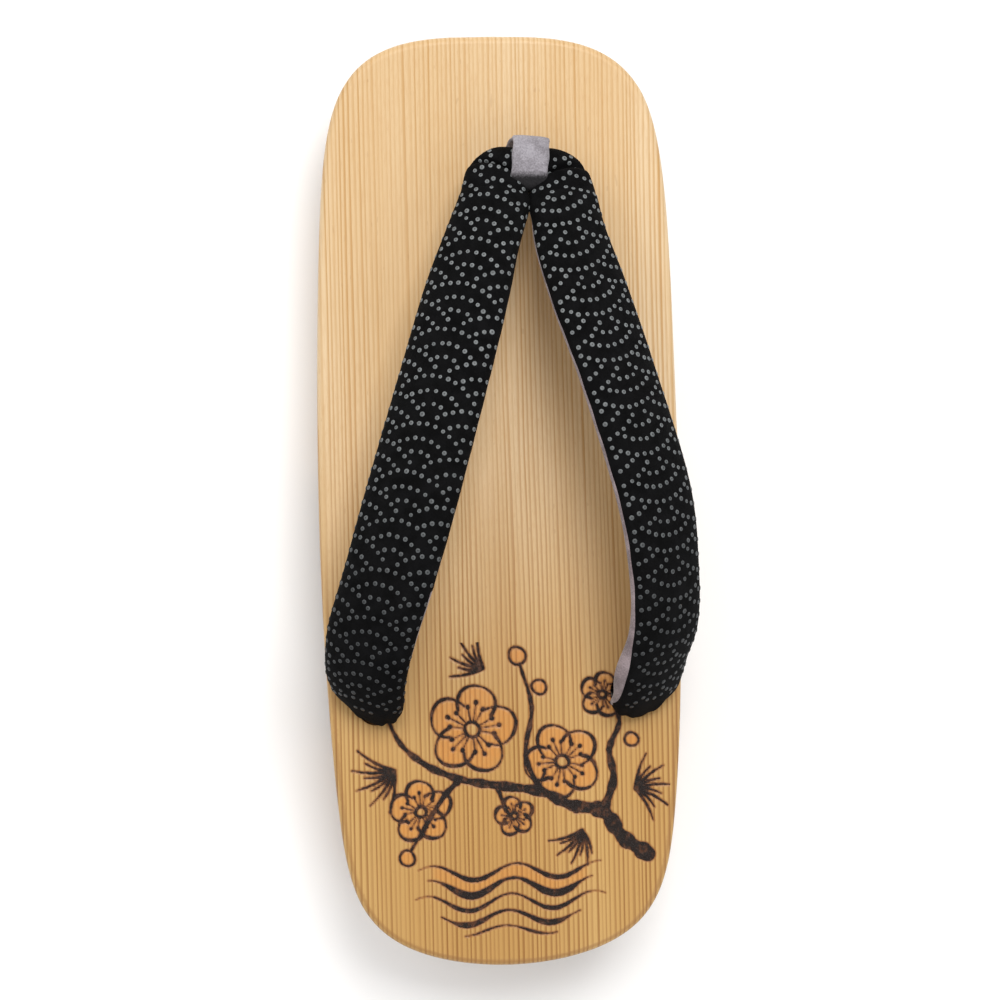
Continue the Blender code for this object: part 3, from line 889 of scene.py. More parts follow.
@dataclass
class Board:
    """The carved cedar board with its two low feet."""

    length: float = 0.255
    width: float = 0.0998
    toe_squareness: tuple = (10.44, 3.10)
    heel_squareness: tuple = (13.0, 1.92)
    toe_narrowing: float = 0.106
    heel_narrowing: float = 0.161
    ball_height: float = 0.030
    heel_rise: float = 0.011
    rise_start: float = 0.075
    rise_length: float = 0.130
    toe_spring: float = 0.003
    spring_length: float = 0.060
    top_dish: float = 0.0012
    edge_round: float = 0.0022
    side_batter: float = 0.10
    foot_chamfer: float = 0.0010
    nose_thickness: float = 0.0145
    nose_length: float = 0.048
    nose_bow: float = 1.6
    arch_front: float = 0.118
    arch_rear: float = 0.197
    arch_face_run: float = 0.009
    arch_front_height: float = 0.015
    arch_rear_height: float = 0.020
    rear_foot_end: float = 0.240
    tail_lift: float = 0.004
    front_hole: tuple = (0.007, 0.0363, 0.0105)
    knot_pocket: tuple = (0.019, 0.0165)
    rear_hole: tuple = (0.035, 0.1815, 0.012)
    rear_lean: tuple = (20.0, 8.0)
    bore_margin: float = 0.0066
    groove_depth: float = 0.00028
    drawing_start: float = 0.166
    columns: int = 232
    fine_step: float = 0.00043
    coarse_step: float = 0.0024
    edge_steps: int = 6
    wall_steps: int = 10
    bottom_columns: int = 10
    flare_places: tuple = (-0.030, -0.010, 0.022, 0.055, 0.080, 0.112, 0.1275)
    flare_widths: tuple = (0.0, 0.0006, 0.0006, 0.0011, 0.0014, 0.0012, 0.0003)
    toe_reach: float = 0.0011
    toe_reach_start: float = 0.25
    end_angles: tuple = (4.0, 80.0, 1.6)
    sharp_angle: float = 40.0
    slope_step: float = 1e-5
    under_rim: float = -30.0

    def hand_shaped(self, points: np.ndarray) -> np.ndarray:
        """The even outline as sanded by hand: wider on the +X side of the toe, and the toe a little longer.

        Args:
            points: All of the board's points, one a row.

        Returns:
            The moved points.
        """
        x, y, z = points.T
        flare = np.interp(y, self.flare_places, self.flare_widths)
        start = self.toe_reach_start
        reach = self.toe_reach * smooth((y - start * self.length / 2) / ((1 - start) * self.length / 2))
        return np.column_stack([x + np.maximum(x, 0.0) / (self.width / 2) * flare, y + reach, z])

    def half_width(self, depth: np.ndarray) -> np.ndarray:
        """Half width at a depth: W(1 - b·v²)(1 - v^m)^(1/n), v being the share of the way from the middle.

        Args:
            depth: Distances back from the toe.

        Returns:
            The half widths.
        """
        share = np.clip(np.abs(1 - 2 * depth / self.length), 0.0, 1.0)
        toe = depth <= self.length / 2
        power = np.where(toe, self.toe_squareness[0], self.heel_squareness[0])
        root = np.where(toe, self.toe_squareness[1], self.heel_squareness[1])
        narrowing = np.where(toe, self.toe_narrowing, self.heel_narrowing)
        return self.width / 2 * (1 - narrowing * share**2) * (1 - share**power) ** (1 / root)

    def top_height(self, x: np.ndarray, y: np.ndarray) -> np.ndarray:
        """Height of the top face: level ball, an eased rise to the heel, a toe spring and a shallow dish.

        Args:
            x: Places across.
            y: Places along.

        Returns:
            The heights.
        """
        depth = self.length / 2 - y
        rise = self.heel_rise * smooth((depth - self.rise_start) / self.rise_length)
        spring = self.toe_spring * np.maximum(0.0, 1 - depth / self.spring_length) ** 2
        dish = self.top_dish * np.maximum(0.0, 1 - (2 * x / self.width) ** 2)
        return self.ball_height + rise + spring - dish

    def bottom_height(self, depth: np.ndarray) -> np.ndarray:
        """Height of the underside: bowed nose, front foot, arch, rear foot and lifted tail.

        Args:
            depth: Distances back from the toe.

        Returns:
            The heights.
        """
        lift = self.ball_height + self.toe_spring - self.nose_thickness
        nose = lift * (1 - (np.clip(depth, 0.0, self.nose_length) / self.nose_length) ** self.nose_bow)
        front, rear, run = self.arch_front, self.arch_rear, self.arch_face_run
        marks = (self.nose_length, front, front + run, rear - run, rear, self.rear_foot_end, self.length)
        heights = (0.0, 0.0, self.arch_front_height, self.arch_rear_height, 0.0, 0.0, self.tail_lift)
        return np.where(depth < self.nose_length, nose, np.interp(depth, marks, heights))

    def row_depths(self) -> np.ndarray:
        """Depths of the rows: by angle round each end, fine over the drawing, coarse elsewhere.

        Near an end the depth is L/2·(1 - cos(a)^(2/m)) at even steps of the angle a, so that rows crowd where
        the outline turns. The front foot, the arch and the rear foot each start on a row.

        Returns:
            The depths from toe to heel.
        """
        angles = np.radians(np.arange(*self.end_angles))
        toe = self.length / 2 * (1 - np.cos(angles) ** (2 / self.toe_squareness[0]))
        heel = self.length / 2 * (1 - np.cos(angles) ** (2 / self.heel_squareness[0]))
        toe = toe[: np.argmax(np.diff(toe) > self.coarse_step * 0.6) + 1]
        heel = heel[: np.argmax(np.diff(heel) > self.fine_step) + 1]
        toe[0] = heel[0] = 0.0
        breaks = [self.arch_front, self.arch_front + self.arch_face_run, self.drawing_start]
        starts = [toe[-1], self.nose_length, *breaks]
        ends = [self.nose_length, *breaks, self.length - heel[-1]]
        depths = [toe]
        for start, end in zip(starts, ends):
            step = self.fine_step if start >= self.drawing_start else self.coarse_step
            depths.append(np.linspace(start, end, max(2, math.ceil((end - start) / step) + 1))[1:])
        made = np.concatenate([*depths, self.length - heel[::-1][1:]])
        for mark in (self.arch_rear - self.arch_face_run, self.arch_rear, self.rear_foot_end):
            made[np.argmin(np.abs(made - mark))] = mark
        return made

    def inset(self, side: np.ndarray, distance: float) -> np.ndarray:
        """The +X side's points moved inwards, square to the outline that they and their mirror images make.

        Args:
            side: The points, one a row.
            distance: The way inwards, in metres.

        Returns:
            The moved points.
        """
        mirror = np.array([-1.0, 1.0])
        points = np.vstack([side[0] * mirror, side, side[-1] * mirror])
        along = unit(unit(np.diff(points[:-1], axis=0)) + unit(np.diff(points[1:], axis=0)))
        return side + np.column_stack([along[:, 1], -along[:, 0]]) * distance

    def build(self, finish: bpy.types.Material, drawing: BurntDrawing) -> bpy.types.Object:
        """Builds the board: a fine top grid, rings down the edge and walls, and a coarse grid below.

        Each row runs straight across between its two side points, at x = u · (half width) for even shares u.
        The rings follow the grid's boundary. The drawing's lines are sunk by the groove's depth, eased over
        0.5 mm.

        Args:
            finish: The cedar.
            drawing: The burnt drawing.

        Returns:
            The board.
        """
        depths = self.row_depths()
        side = np.column_stack([self.half_width(depths), self.length / 2 - depths])
        shares = np.linspace(-1.0, 1.0, self.columns + 1)
        rows, columns = len(depths), self.columns + 1
        loop = self.boundary(rows, columns)
        row, column = loop // columns, loop % columns
        edge = self.inset(side, self.edge_round)
        x = edge[:, :1] * shares
        y = np.repeat(edge[:, 1:], columns, axis=1)
        burn, tint = np.full(x.shape, FAR), np.zeros(x.shape)
        drawn = depths > self.drawing_start
        burn[drawn] = drawing.line_field(x[drawn] / MM, y[drawn] / MM)
        tint[drawn] = drawing.tint_field(x[drawn] / MM, y[drawn] / MM)
        z = self.top_height(x, y) - self.groove_depth * smooth((0.25 - burn) / 0.5)
        points = [np.stack([x, y, z], axis=-1).reshape(-1, 3)]
        rims = [self.rim_distance(x, y).ravel() + self.edge_round / MM]
        for turn in np.linspace(0.0, math.pi / 2, self.edge_steps + 1)[1:]:
            ring = self.inset(side, self.edge_round * (1 - math.sin(turn)))[row]
            ring = np.column_stack([ring[:, 0] * shares[column], ring[:, 1]])
            height = self.top_height(ring[:, 0], ring[:, 1]) - self.edge_round * (1 - math.cos(turn))
            points.append(np.column_stack([ring, height]))
            rims.append(np.full(len(loop), self.edge_round / MM * (1 - turn * 2 / math.pi)))
        crown = points[-1]
        floor = self.bottom_height(depths)
        wall = self.top_height(side[:, 0], side[:, 1]) - self.edge_round - floor - self.foot_chamfer
        foot = np.column_stack([side[:, 0] * (1 - self.side_batter * wall / (self.width / 2)), side[:, 1]])
        low = np.column_stack([foot[row, 0] * shares[column], foot[row, 1], floor[row] + self.foot_chamfer])
        for share in np.linspace(0.0, 1.0, self.wall_steps + 1)[1:]:
            points.append(crown + (low - crown) * share)
            rims.append(-(crown[:, 2] - points[-1][:, 2]) / MM)
        sole = self.inset(foot, self.foot_chamfer)
        points.append(np.column_stack([sole[row, 0] * shares[column], sole[row, 1], floor[row]]))
        rims.append(np.full(len(loop), self.under_rim))
        faces = [self.grid_faces(rows, columns)]
        starts = np.cumsum([0] + [len(part) for part in points[:-1]])
        rings = [loop] + [np.arange(len(loop)) + start for start in starts[1:]]
        for upper, lower in zip(rings, rings[1:]):
            faces.append(np.column_stack([upper, np.roll(upper, -1), np.roll(lower, -1), lower]))
        under, under_faces = self.underside(sole, floor, rings[-1], starts[-1] + len(loop))
        points.append(under)
        rims.append(np.full(len(under), self.under_rim))
        shaped = self.hand_shaped(np.vstack(points))
        board = make_piece("cedar_board", shaped, faces + under_faces, Slot.CEDAR, finish)
        rest = sum(len(part) for part in points[1:])
        add_attribute(board, "burn", np.concatenate([burn.ravel(), np.full(rest, FAR)]))
        add_attribute(board, "toast", np.concatenate([tint.ravel(), np.zeros(rest)]))
        add_attribute(board, "rim", np.concatenate(rims))
        self.bore(board)
        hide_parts("base")
        return board

    def boundary(self, rows: int, columns: int) -> np.ndarray:
        """Numbers of the top grid's boundary points, in order round it from the toe's -X corner."""
        numbers = np.arange(rows * columns).reshape(rows, columns)
        return np.concatenate([numbers[0], numbers[1:, -1], numbers[-1, -2::-1], numbers[-2:0:-1, 0]])

    def grid_faces(self, rows: int, columns: int) -> np.ndarray:
        """Quads of a grid whose point numbers run along its rows.

        Args:
            rows: Count of rows.
            columns: Points in a row.

        Returns:
            The faces, one a row.
        """
        numbers = np.arange(rows * columns).reshape(rows, columns)
        corners = [numbers[:-1, :-1], numbers[1:, :-1], numbers[1:, 1:], numbers[:-1, 1:]]
        return np.stack(corners, axis=-1).reshape(-1, 4)

    def rim_distance(self, x: np.ndarray, y: np.ndarray) -> np.ndarray:
        """Distance from the top grid's points to its side, by the outline's slope, or to its tips.

        Args:
            x: The points' places across.
            y: The points' places along.

        Returns:
            The distances, in millimetres.
        """
        step = self.slope_step
        depth = np.clip(self.length / 2 - y, 2 * step, self.length - 2 * step)
        slope = (self.half_width(depth + step) - self.half_width(depth - step)) / (2 * step)
        gap = (self.half_width(depth) - np.abs(x)) / np.sqrt(1 + slope**2)
        return np.maximum(np.minimum(gap, np.minimum(depth, self.length - depth)) - self.edge_round, 0.0) / MM

    def underside(self, sole: np.ndarray, floor: np.ndarray, ring: np.ndarray, start: int) -> tuple:
        """Fills the underside with a few columns; the two end rows take every point of the ring.

        Args:
            sole: The +X side's points of the lowest ring.
            floor: Height of each row.
            ring: Numbers of the lowest ring's points.
            start: Number that the first new point gets.

        Returns:
            The new inner points, and the faces as a list of arrays.
        """
        rows, columns, cells = len(sole), self.columns + 1, self.bottom_columns
        shares = np.linspace(-1.0, 1.0, cells + 1)[1:-1]
        across = sole[1:-1, :1] * shares
        inner = np.stack(np.broadcast_arrays(across, sole[1:-1, 1:], floor[1:-1, None]), axis=-1)
        numbers = np.empty((rows - 2, cells + 1), int)
        numbers[:, 1:-1] = start + np.arange((rows - 2) * (cells - 1)).reshape(rows - 2, cells - 1)
        numbers[:, -1] = ring[columns : columns + rows - 2]
        numbers[:, 0] = ring[2 * columns + rows - 2 :][::-1]
        corners = [numbers[:-1, :-1], numbers[:-1, 1:], numbers[1:, 1:], numbers[1:, :-1]]
        faces = [np.stack(corners, axis=-1).reshape(-1, 4)]
        marks = np.round(np.linspace(0, columns - 1, cells + 1)).astype(int)
        toe, heel = ring[:columns], ring[columns + rows - 2 : 2 * columns + rows - 2]
        for cell in range(cells):
            span = toe[marks[cell] : marks[cell + 1] + 1]
            faces.append(np.concatenate([span, numbers[0, cell : cell + 2][::-1]])[None])
            span = heel[::-1][marks[cell] : marks[cell + 1] + 1]
            faces.append(np.concatenate([numbers[-1, cell : cell + 2], span[::-1]])[None])
        return inner.reshape(-1, 3), faces

    def rear_hole_way(self, side: int) -> tuple[np.ndarray, np.ndarray]:
        """Middle of a rear hole on the top face and its way down; side is 1 at the big toe.

        Args:
            side: 1 at the big toe's side, -1 at the other.

        Returns:
            The place, and the unit vector down the hole.
        """
        x, y = side * self.rear_hole[0], self.length / 2 - self.rear_hole[1]
        forward, inward = (math.tan(math.radians(angle)) for angle in self.rear_lean)
        return np.array([x, y, float(self.top_height(x, y))]), unit(np.array([-side * inward, forward, -1.0]))

    def front_hole_top(self) -> np.ndarray:
        """Middle of the front hole on the top face."""
        x, y = self.front_hole[0], self.length / 2 - self.front_hole[1]
        return np.array([x, y, float(self.top_height(x, y))])

    def bore(self, board: bpy.types.Object) -> None:
        """Cuts the front hole, its knot's pocket and the two rear holes, and keeps the result as the mesh.

        Args:
            board: The board's piece.
        """
        top, past = self.front_hole_top(), self.bore_margin
        pocket = np.array([top[0], top[1], self.knot_pocket[1]])
        below = np.array([top[0], top[1], -past])
        cuts = [(top + [0, 0, past], below, self.front_hole[2]), (pocket, below, self.knot_pocket[0])]
        for side in (-1, 1):
            hole, way = self.rear_hole_way(side)
            cuts.append((hole - way * past * 2, hole + way * self.ball_height, self.rear_hole[2]))
        cutters = [self.cutter(*cut) for cut in cuts]
        for cutter in cutters:
            modifier = board.modifiers.new(cutter.name, "BOOLEAN")
            modifier.operation, modifier.solver, modifier.object = "DIFFERENCE", "EXACT", cutter
        bpy.context.view_layer.update()
        graph = bpy.context.evaluated_depsgraph_get()
        mesh = bpy.data.meshes.new_from_object(board.evaluated_get(graph))
        board.modifiers.clear()
        board.data = mesh
        mesh.set_sharp_from_angle(angle=math.radians(self.sharp_angle))
        for cutter in cutters:
            bpy.data.objects.remove(cutter)

    def cutter(
        self, start: np.ndarray, end: np.ndarray, diameter: float, sides: int = 48
    ) -> bpy.types.Object:
        """A closed cylinder between two points, by two rings square to its axis.

        Args:
            start: One end's middle.
            end: The other end's middle.
            diameter: Its diameter.
            sides: Points in a ring.

        Returns:
            The cutter.
        """
        first, second = crossways(unit(end - start), (0.0, 1.0, 0.3))
        angles = full_circle(sides)[:, None]
        ring = (np.cos(angles) * first + np.sin(angles) * second) * diameter / 2
        faces = tube_faces(2, sides).tolist() + [list(range(sides))[::-1], list(range(sides, 2 * sides))]
        return add_object("cutter", solid_mesh("cutter", np.vstack([start + ring, end + ring]), faces))


# The strap


@dataclass
class Strap:
    """The padded V strap: one cloth tube from rear hole to rear hole, folded at the front loop."""

    board: Board
    width: float = 0.025
    thickness: float = 0.0095
    rise: float = 0.030
    lining_flatness: float = 0.80
    squareness: float = 2.3
    neck: tuple = (0.0104, 0.0095, 0.013)
    neck_lean: float = 0.0022
    loop_slack: float = 0.0020
    tail: tuple = (0.0096, 0.0082)
    tail_depths: tuple = (-0.0008, 0.004, 0.008)
    rings: int = 680
    sides: int = 76
    cover_sides: int = 42
    seam_depth: float = 0.00045
    seam_spread: float = 3.6
    pucker_height: float = 0.00010
    pucker_spread: float = 7.0
    pucker_lengths: tuple = (0.0019, 0.011)
    padding_waver: float = 0.00022
    padding_length: float = 0.0125
    gather_reach: tuple = (0.020, 0.012)
    gathers: tuple = (
        # share of the radius, count round the section, lean in radians a metre, start
        (0.045, 9, 40.0, 0.0),
        (0.03, 14, -25.0, 1.0),
    )
    crease_slant: float = 0.0028
    creases: tuple = (
        # height, distance from the neck and width
        (-0.0024, 0.0078, 0.0010),
        (0.0009, 0.0100, 0.0012),
        (-0.0006, 0.0150, 0.0010),
    )
    outer_arm: list = field(
        default_factory=lambda: [
            # along, across, height, width, thickness, swing, lean, inner seam, outer seam
            (0.000, 0.118, 0.405, 0.550, 0.860, 60.0, 3.0, 180, -12),
            (0.015, 0.174, 0.425, 0.670, 0.900, 36.0, 8.0, 180, -12),
            (0.038, 0.196, 0.500, 0.785, 1.000, 26.0, 12.0, 180, -12),
            (0.070, 0.224, 0.585, 0.790, 1.000, 20.0, 16.0, 180, -12),
            (0.136, 0.304, 0.690, 0.835, 1.000, 17.0, 20.0, 180, -12),
            (0.247, 0.421, 0.820, 0.950, 1.000, 16.5, 23.0, 180, -12),
            (0.395, 0.567, 0.935, 1.000, 1.000, 16.5, 25.0, 180, -12),
            (0.616, 0.787, 1.000, 1.030, 1.000, 17.0, 25.0, 180, -12),
            (0.766, 0.937, 0.915, 1.010, 1.000, 16.0, 24.0, 180, -12),
            (0.864, 1.038, 0.725, 1.000, 1.000, 14.0, 24.0, 184, -12),
            (0.934, 1.077, 0.490, 0.940, 0.980, 17.0, 23.0, 192, -16),
            (0.976, 1.072, 0.290, 0.870, 0.970, 22.0, 18.0, 205, -22),
            (0.994, 1.048, 0.160, 0.740, 1.000, 26.0, 8.0, 215, -30),
            (1.001, 1.012, 0.095, 0.540, 1.150, 28.0, 2.0, 215, -30),
        ]
    )
    inner_arm: list = field(
        default_factory=lambda: [
            # along, across, height, width, thickness, swing, lean, inner seam, outer seam
            (0.002, 0.164, 0.405, 0.520, 0.860, 60.0, 3.0, 180, -12),
            (0.017, 0.268, 0.425, 0.660, 0.900, 33.0, 8.0, 180, -12),
            (0.046, 0.308, 0.500, 0.780, 1.000, 23.0, 12.0, 178, -12),
            (0.082, 0.350, 0.600, 0.810, 1.000, 18.0, 17.0, 177, -12),
            (0.143, 0.400, 0.690, 0.880, 1.000, 17.5, 22.0, 176, -12),
            (0.252, 0.572, 0.820, 0.970, 1.000, 17.5, 27.0, 176, -12),
            (0.397, 0.815, 0.935, 0.970, 1.000, 17.0, 30.0, 174, -12),
            (0.617, 1.130, 1.000, 0.995, 1.000, 13.0, 33.0, 172, -12),
            (0.767, 1.222, 0.915, 0.955, 1.000, 6.0, 36.0, 171, -12),
            (0.865, 1.225, 0.725, 0.960, 1.000, 7.0, 36.0, 167, -12),
            (0.934, 1.125, 0.490, 1.010, 0.980, 12.0, 34.0, 148, -16),
            (0.976, 1.110, 0.290, 0.900, 0.970, 18.0, 26.0, 164, -22),
            (0.994, 1.090, 0.160, 0.800, 1.000, 22.0, 12.0, 194, -30),
            (1.001, 1.040, 0.095, 0.550, 1.150, 24.0, 2.0, 214, -30),
        ]
    )

    def neck_centre(self) -> np.ndarray:
        """Middle of the neck, pulled back inside the front loop."""
        return self.board.front_hole_top() + [self.neck_lean, -self.loop_slack / 2, self.neck[2]]

    def arm_stations(self, rows: list, side: int) -> np.ndarray:
        """Turns an arm's table into places and sizes in metres and turns in degrees.

        Args:
            rows: The arm's table.
            side: 1 at the big toe, -1 at the small toes.

        Returns:
            x, y, z, width, thickness, swing, lean, inner seam and outer seam, from the neck into the hole.
        """
        table = np.array(rows, float)
        neck, (hole, way) = self.neck_centre(), self.board.rear_hole_way(side)
        x = neck[0] + (hole[0] - neck[0]) * table[:, 1]
        y = neck[1] + (hole[1] - neck[1]) * table[:, 0]
        z = self.board.top_height(x, y) + self.rise * table[:, 2]
        arm = np.column_stack([x, y, z, self.width * table[:, 3], self.thickness * table[:, 4], table[:, 5:]])
        rest = (*self.tail, table[-1, 5], 0.0, *table[-1, 7:])
        ends = [(*(hole + way * depth), *rest) for depth in self.tail_depths]
        return np.vstack([arm, ends])

    def stations(self) -> tuple[np.ndarray, np.ndarray]:
        """The whole tube's stations at even steps, from the -X rear hole over the neck to the +X rear hole.

        Returns:
            The table, whose last column is the side (-1 or 1), and the length along the tube at each station,
            0 at the neck and below 0 on the -X arm.
        """
        outer, inner = self.arm_stations(self.outer_arm, -1), self.arm_stations(self.inner_arm, 1)
        neck = np.array([[*self.neck_centre(), self.neck[0], self.neck[1], 90.0, 0.0, 180.0, -12.0]])
        sides = np.concatenate([-np.ones(len(outer)), [0.0], np.ones(len(inner))])
        table = np.column_stack([np.vstack([outer[::-1], neck, inner]), sides])
        table[:, 5] = np.where(sides < 0, 180.0 - table[:, 5], table[:, 5])
        fine = spline(table, 12)
        made, marks = even(fine[:, :3], fine, self.rings)
        middle = marks[np.argmin(np.abs(made[:, 9]))]
        return made, marks - middle

    def surface(self) -> tuple[np.ndarray, np.ndarray, np.ndarray]:
        """The tube's points: place + across · u·width/2 + face · v·thickness/2 for section points (u, v).

        across leans with the table's swing and lean, and face is square to it and to the path. Shallow folds,
        puckers by the seams and pleats at the tails are added along face and across.

        Returns:
            Points by ring and side, the lengths along the tube, and the angles by ring and side.
        """
        table, marks = self.stations()
        angles = self.section_angles(table[:, 7:8], table[:, 8:9])
        section = rounded_section(angles.ravel(), self.squareness, self.lining_flatness)
        section = section.reshape(*angles.shape, 2)
        places, swing, lean = table[:, :3], np.radians(table[:, 5]), np.radians(table[:, 6])
        across = unit(np.column_stack([np.cos(swing), np.sin(swing), -np.tan(lean)]))
        path = unit(np.gradient(places, axis=0))
        face = unit(np.cross(path, across))
        swell = self.swell(marks[:, None], np.degrees(angles), table)
        gathers = 1 + self.pleats(marks, angles)
        u = section[..., 0] * table[:, 3:4] / 2 * gathers
        v = section[..., 1] * table[:, 4:5] / 2 * gathers + swell * np.sign(section[..., 1])
        points = places[:, None] + across[:, None] * u[..., None] + face[:, None] * v[..., None]
        return points, marks, angles

    def section_angles(self, inner: np.ndarray, outer: np.ndarray) -> np.ndarray:
        """Angles round each ring in radians: even steps over the cover, and others over the lining.

        Args:
            inner: Each ring's inner seam in degrees, as a column.
            outer: Each ring's outer seam in degrees, as a column.

        Returns:
            One row a ring, from the outer seam over the crown to the inner seam and on below.
        """
        cover = outer + (inner - outer) * np.arange(self.cover_sides) / self.cover_sides
        lining_sides = self.sides - self.cover_sides
        lining = inner + (outer + 360.0 - inner) * np.arange(lining_sides) / lining_sides
        return np.radians(np.hstack([cover, lining]))

    def swell(self, marks: np.ndarray, degrees: np.ndarray, table: np.ndarray) -> np.ndarray:
        """Change of the half thickness: wavering padding, puckers by the seams, creases by the front loop.

        Args:
            marks: Each ring's length along the tube, as a column.
            degrees: Angles by ring and side.
            table: The stations' table, one row a ring.

        Returns:
            The change by ring and side, in metres.
        """
        inner, outer = table[:, 7:8], table[:, 8:9] % 360
        degrees = degrees % 360
        turns = np.radians(degrees)
        near_seams = bump(degrees, inner, self.pucker_spread) + bump(degrees, outer, self.pucker_spread)
        in_seams = bump(degrees, inner, self.seam_spread) + bump(degrees, outer, self.seam_spread)
        short, long = self.pucker_lengths
        puckers = self.pucker_height * np.sin(marks / short + 0.8 * np.sin(marks / long))
        padding = self.padding_waver * np.sin(marks / self.padding_length + turns) * np.sin(turns) ** 2
        slant = np.abs(marks) - self.crease_slant * np.cos(turns)
        reach = np.clip(np.sin(turns), 0.0, 1.0) ** 0.5
        creases = sum(depth * bump(slant, at, wide) for depth, at, wide in self.creases)
        return -self.seam_depth * in_seams + puckers * near_seams + padding + creases * reach

    def pleats(self, marks: np.ndarray, angles: np.ndarray) -> np.ndarray:
        """Share by which gathers at the tube's ends change the radius: fading cosines round the section.

        Args:
            marks: Each ring's length along the tube.
            angles: Angles by ring and side, in radians.

        Returns:
            The share by ring and side.
        """
        gap = np.minimum(marks - marks[0], marks[-1] - marks)[:, None]
        fade = smooth((self.gather_reach[0] - gap) / self.gather_reach[1])
        waves = [size * np.cos(count * angles + lean * gap + at) for size, count, lean, at in self.gathers]
        return fade * sum(waves)

    def build(self, cotton: bpy.types.Material, velour: bpy.types.Material) -> bpy.types.Object:
        """Builds the closed tube, cotton above its two seams and velour below them.

        Args:
            cotton: The black cover.
            velour: The lining.

        Returns:
            The strap.
        """
        points = self.surface()[0]
        rings, sides = points.shape[:2]
        ends = [points[0].mean(axis=0), points[-1].mean(axis=0)]
        last = (rings - 1) * sides + np.arange(sides)
        faces = tube_faces(rings, sides)
        caps = [fan_faces(np.arange(sides)[::-1], rings * sides), fan_faces(last, rings * sides + 1)]
        points = np.vstack([points.reshape(-1, 3), ends])
        strap = make_piece("strap_cover", points, [faces, *caps], Slot.COTTON, cotton, velour)
        lined = np.tile(np.arange(sides) >= self.cover_sides, rings - 1)
        set_face_materials(strap, np.concatenate([lined, np.zeros(2 * sides)]))
        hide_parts("straps")
        return strap


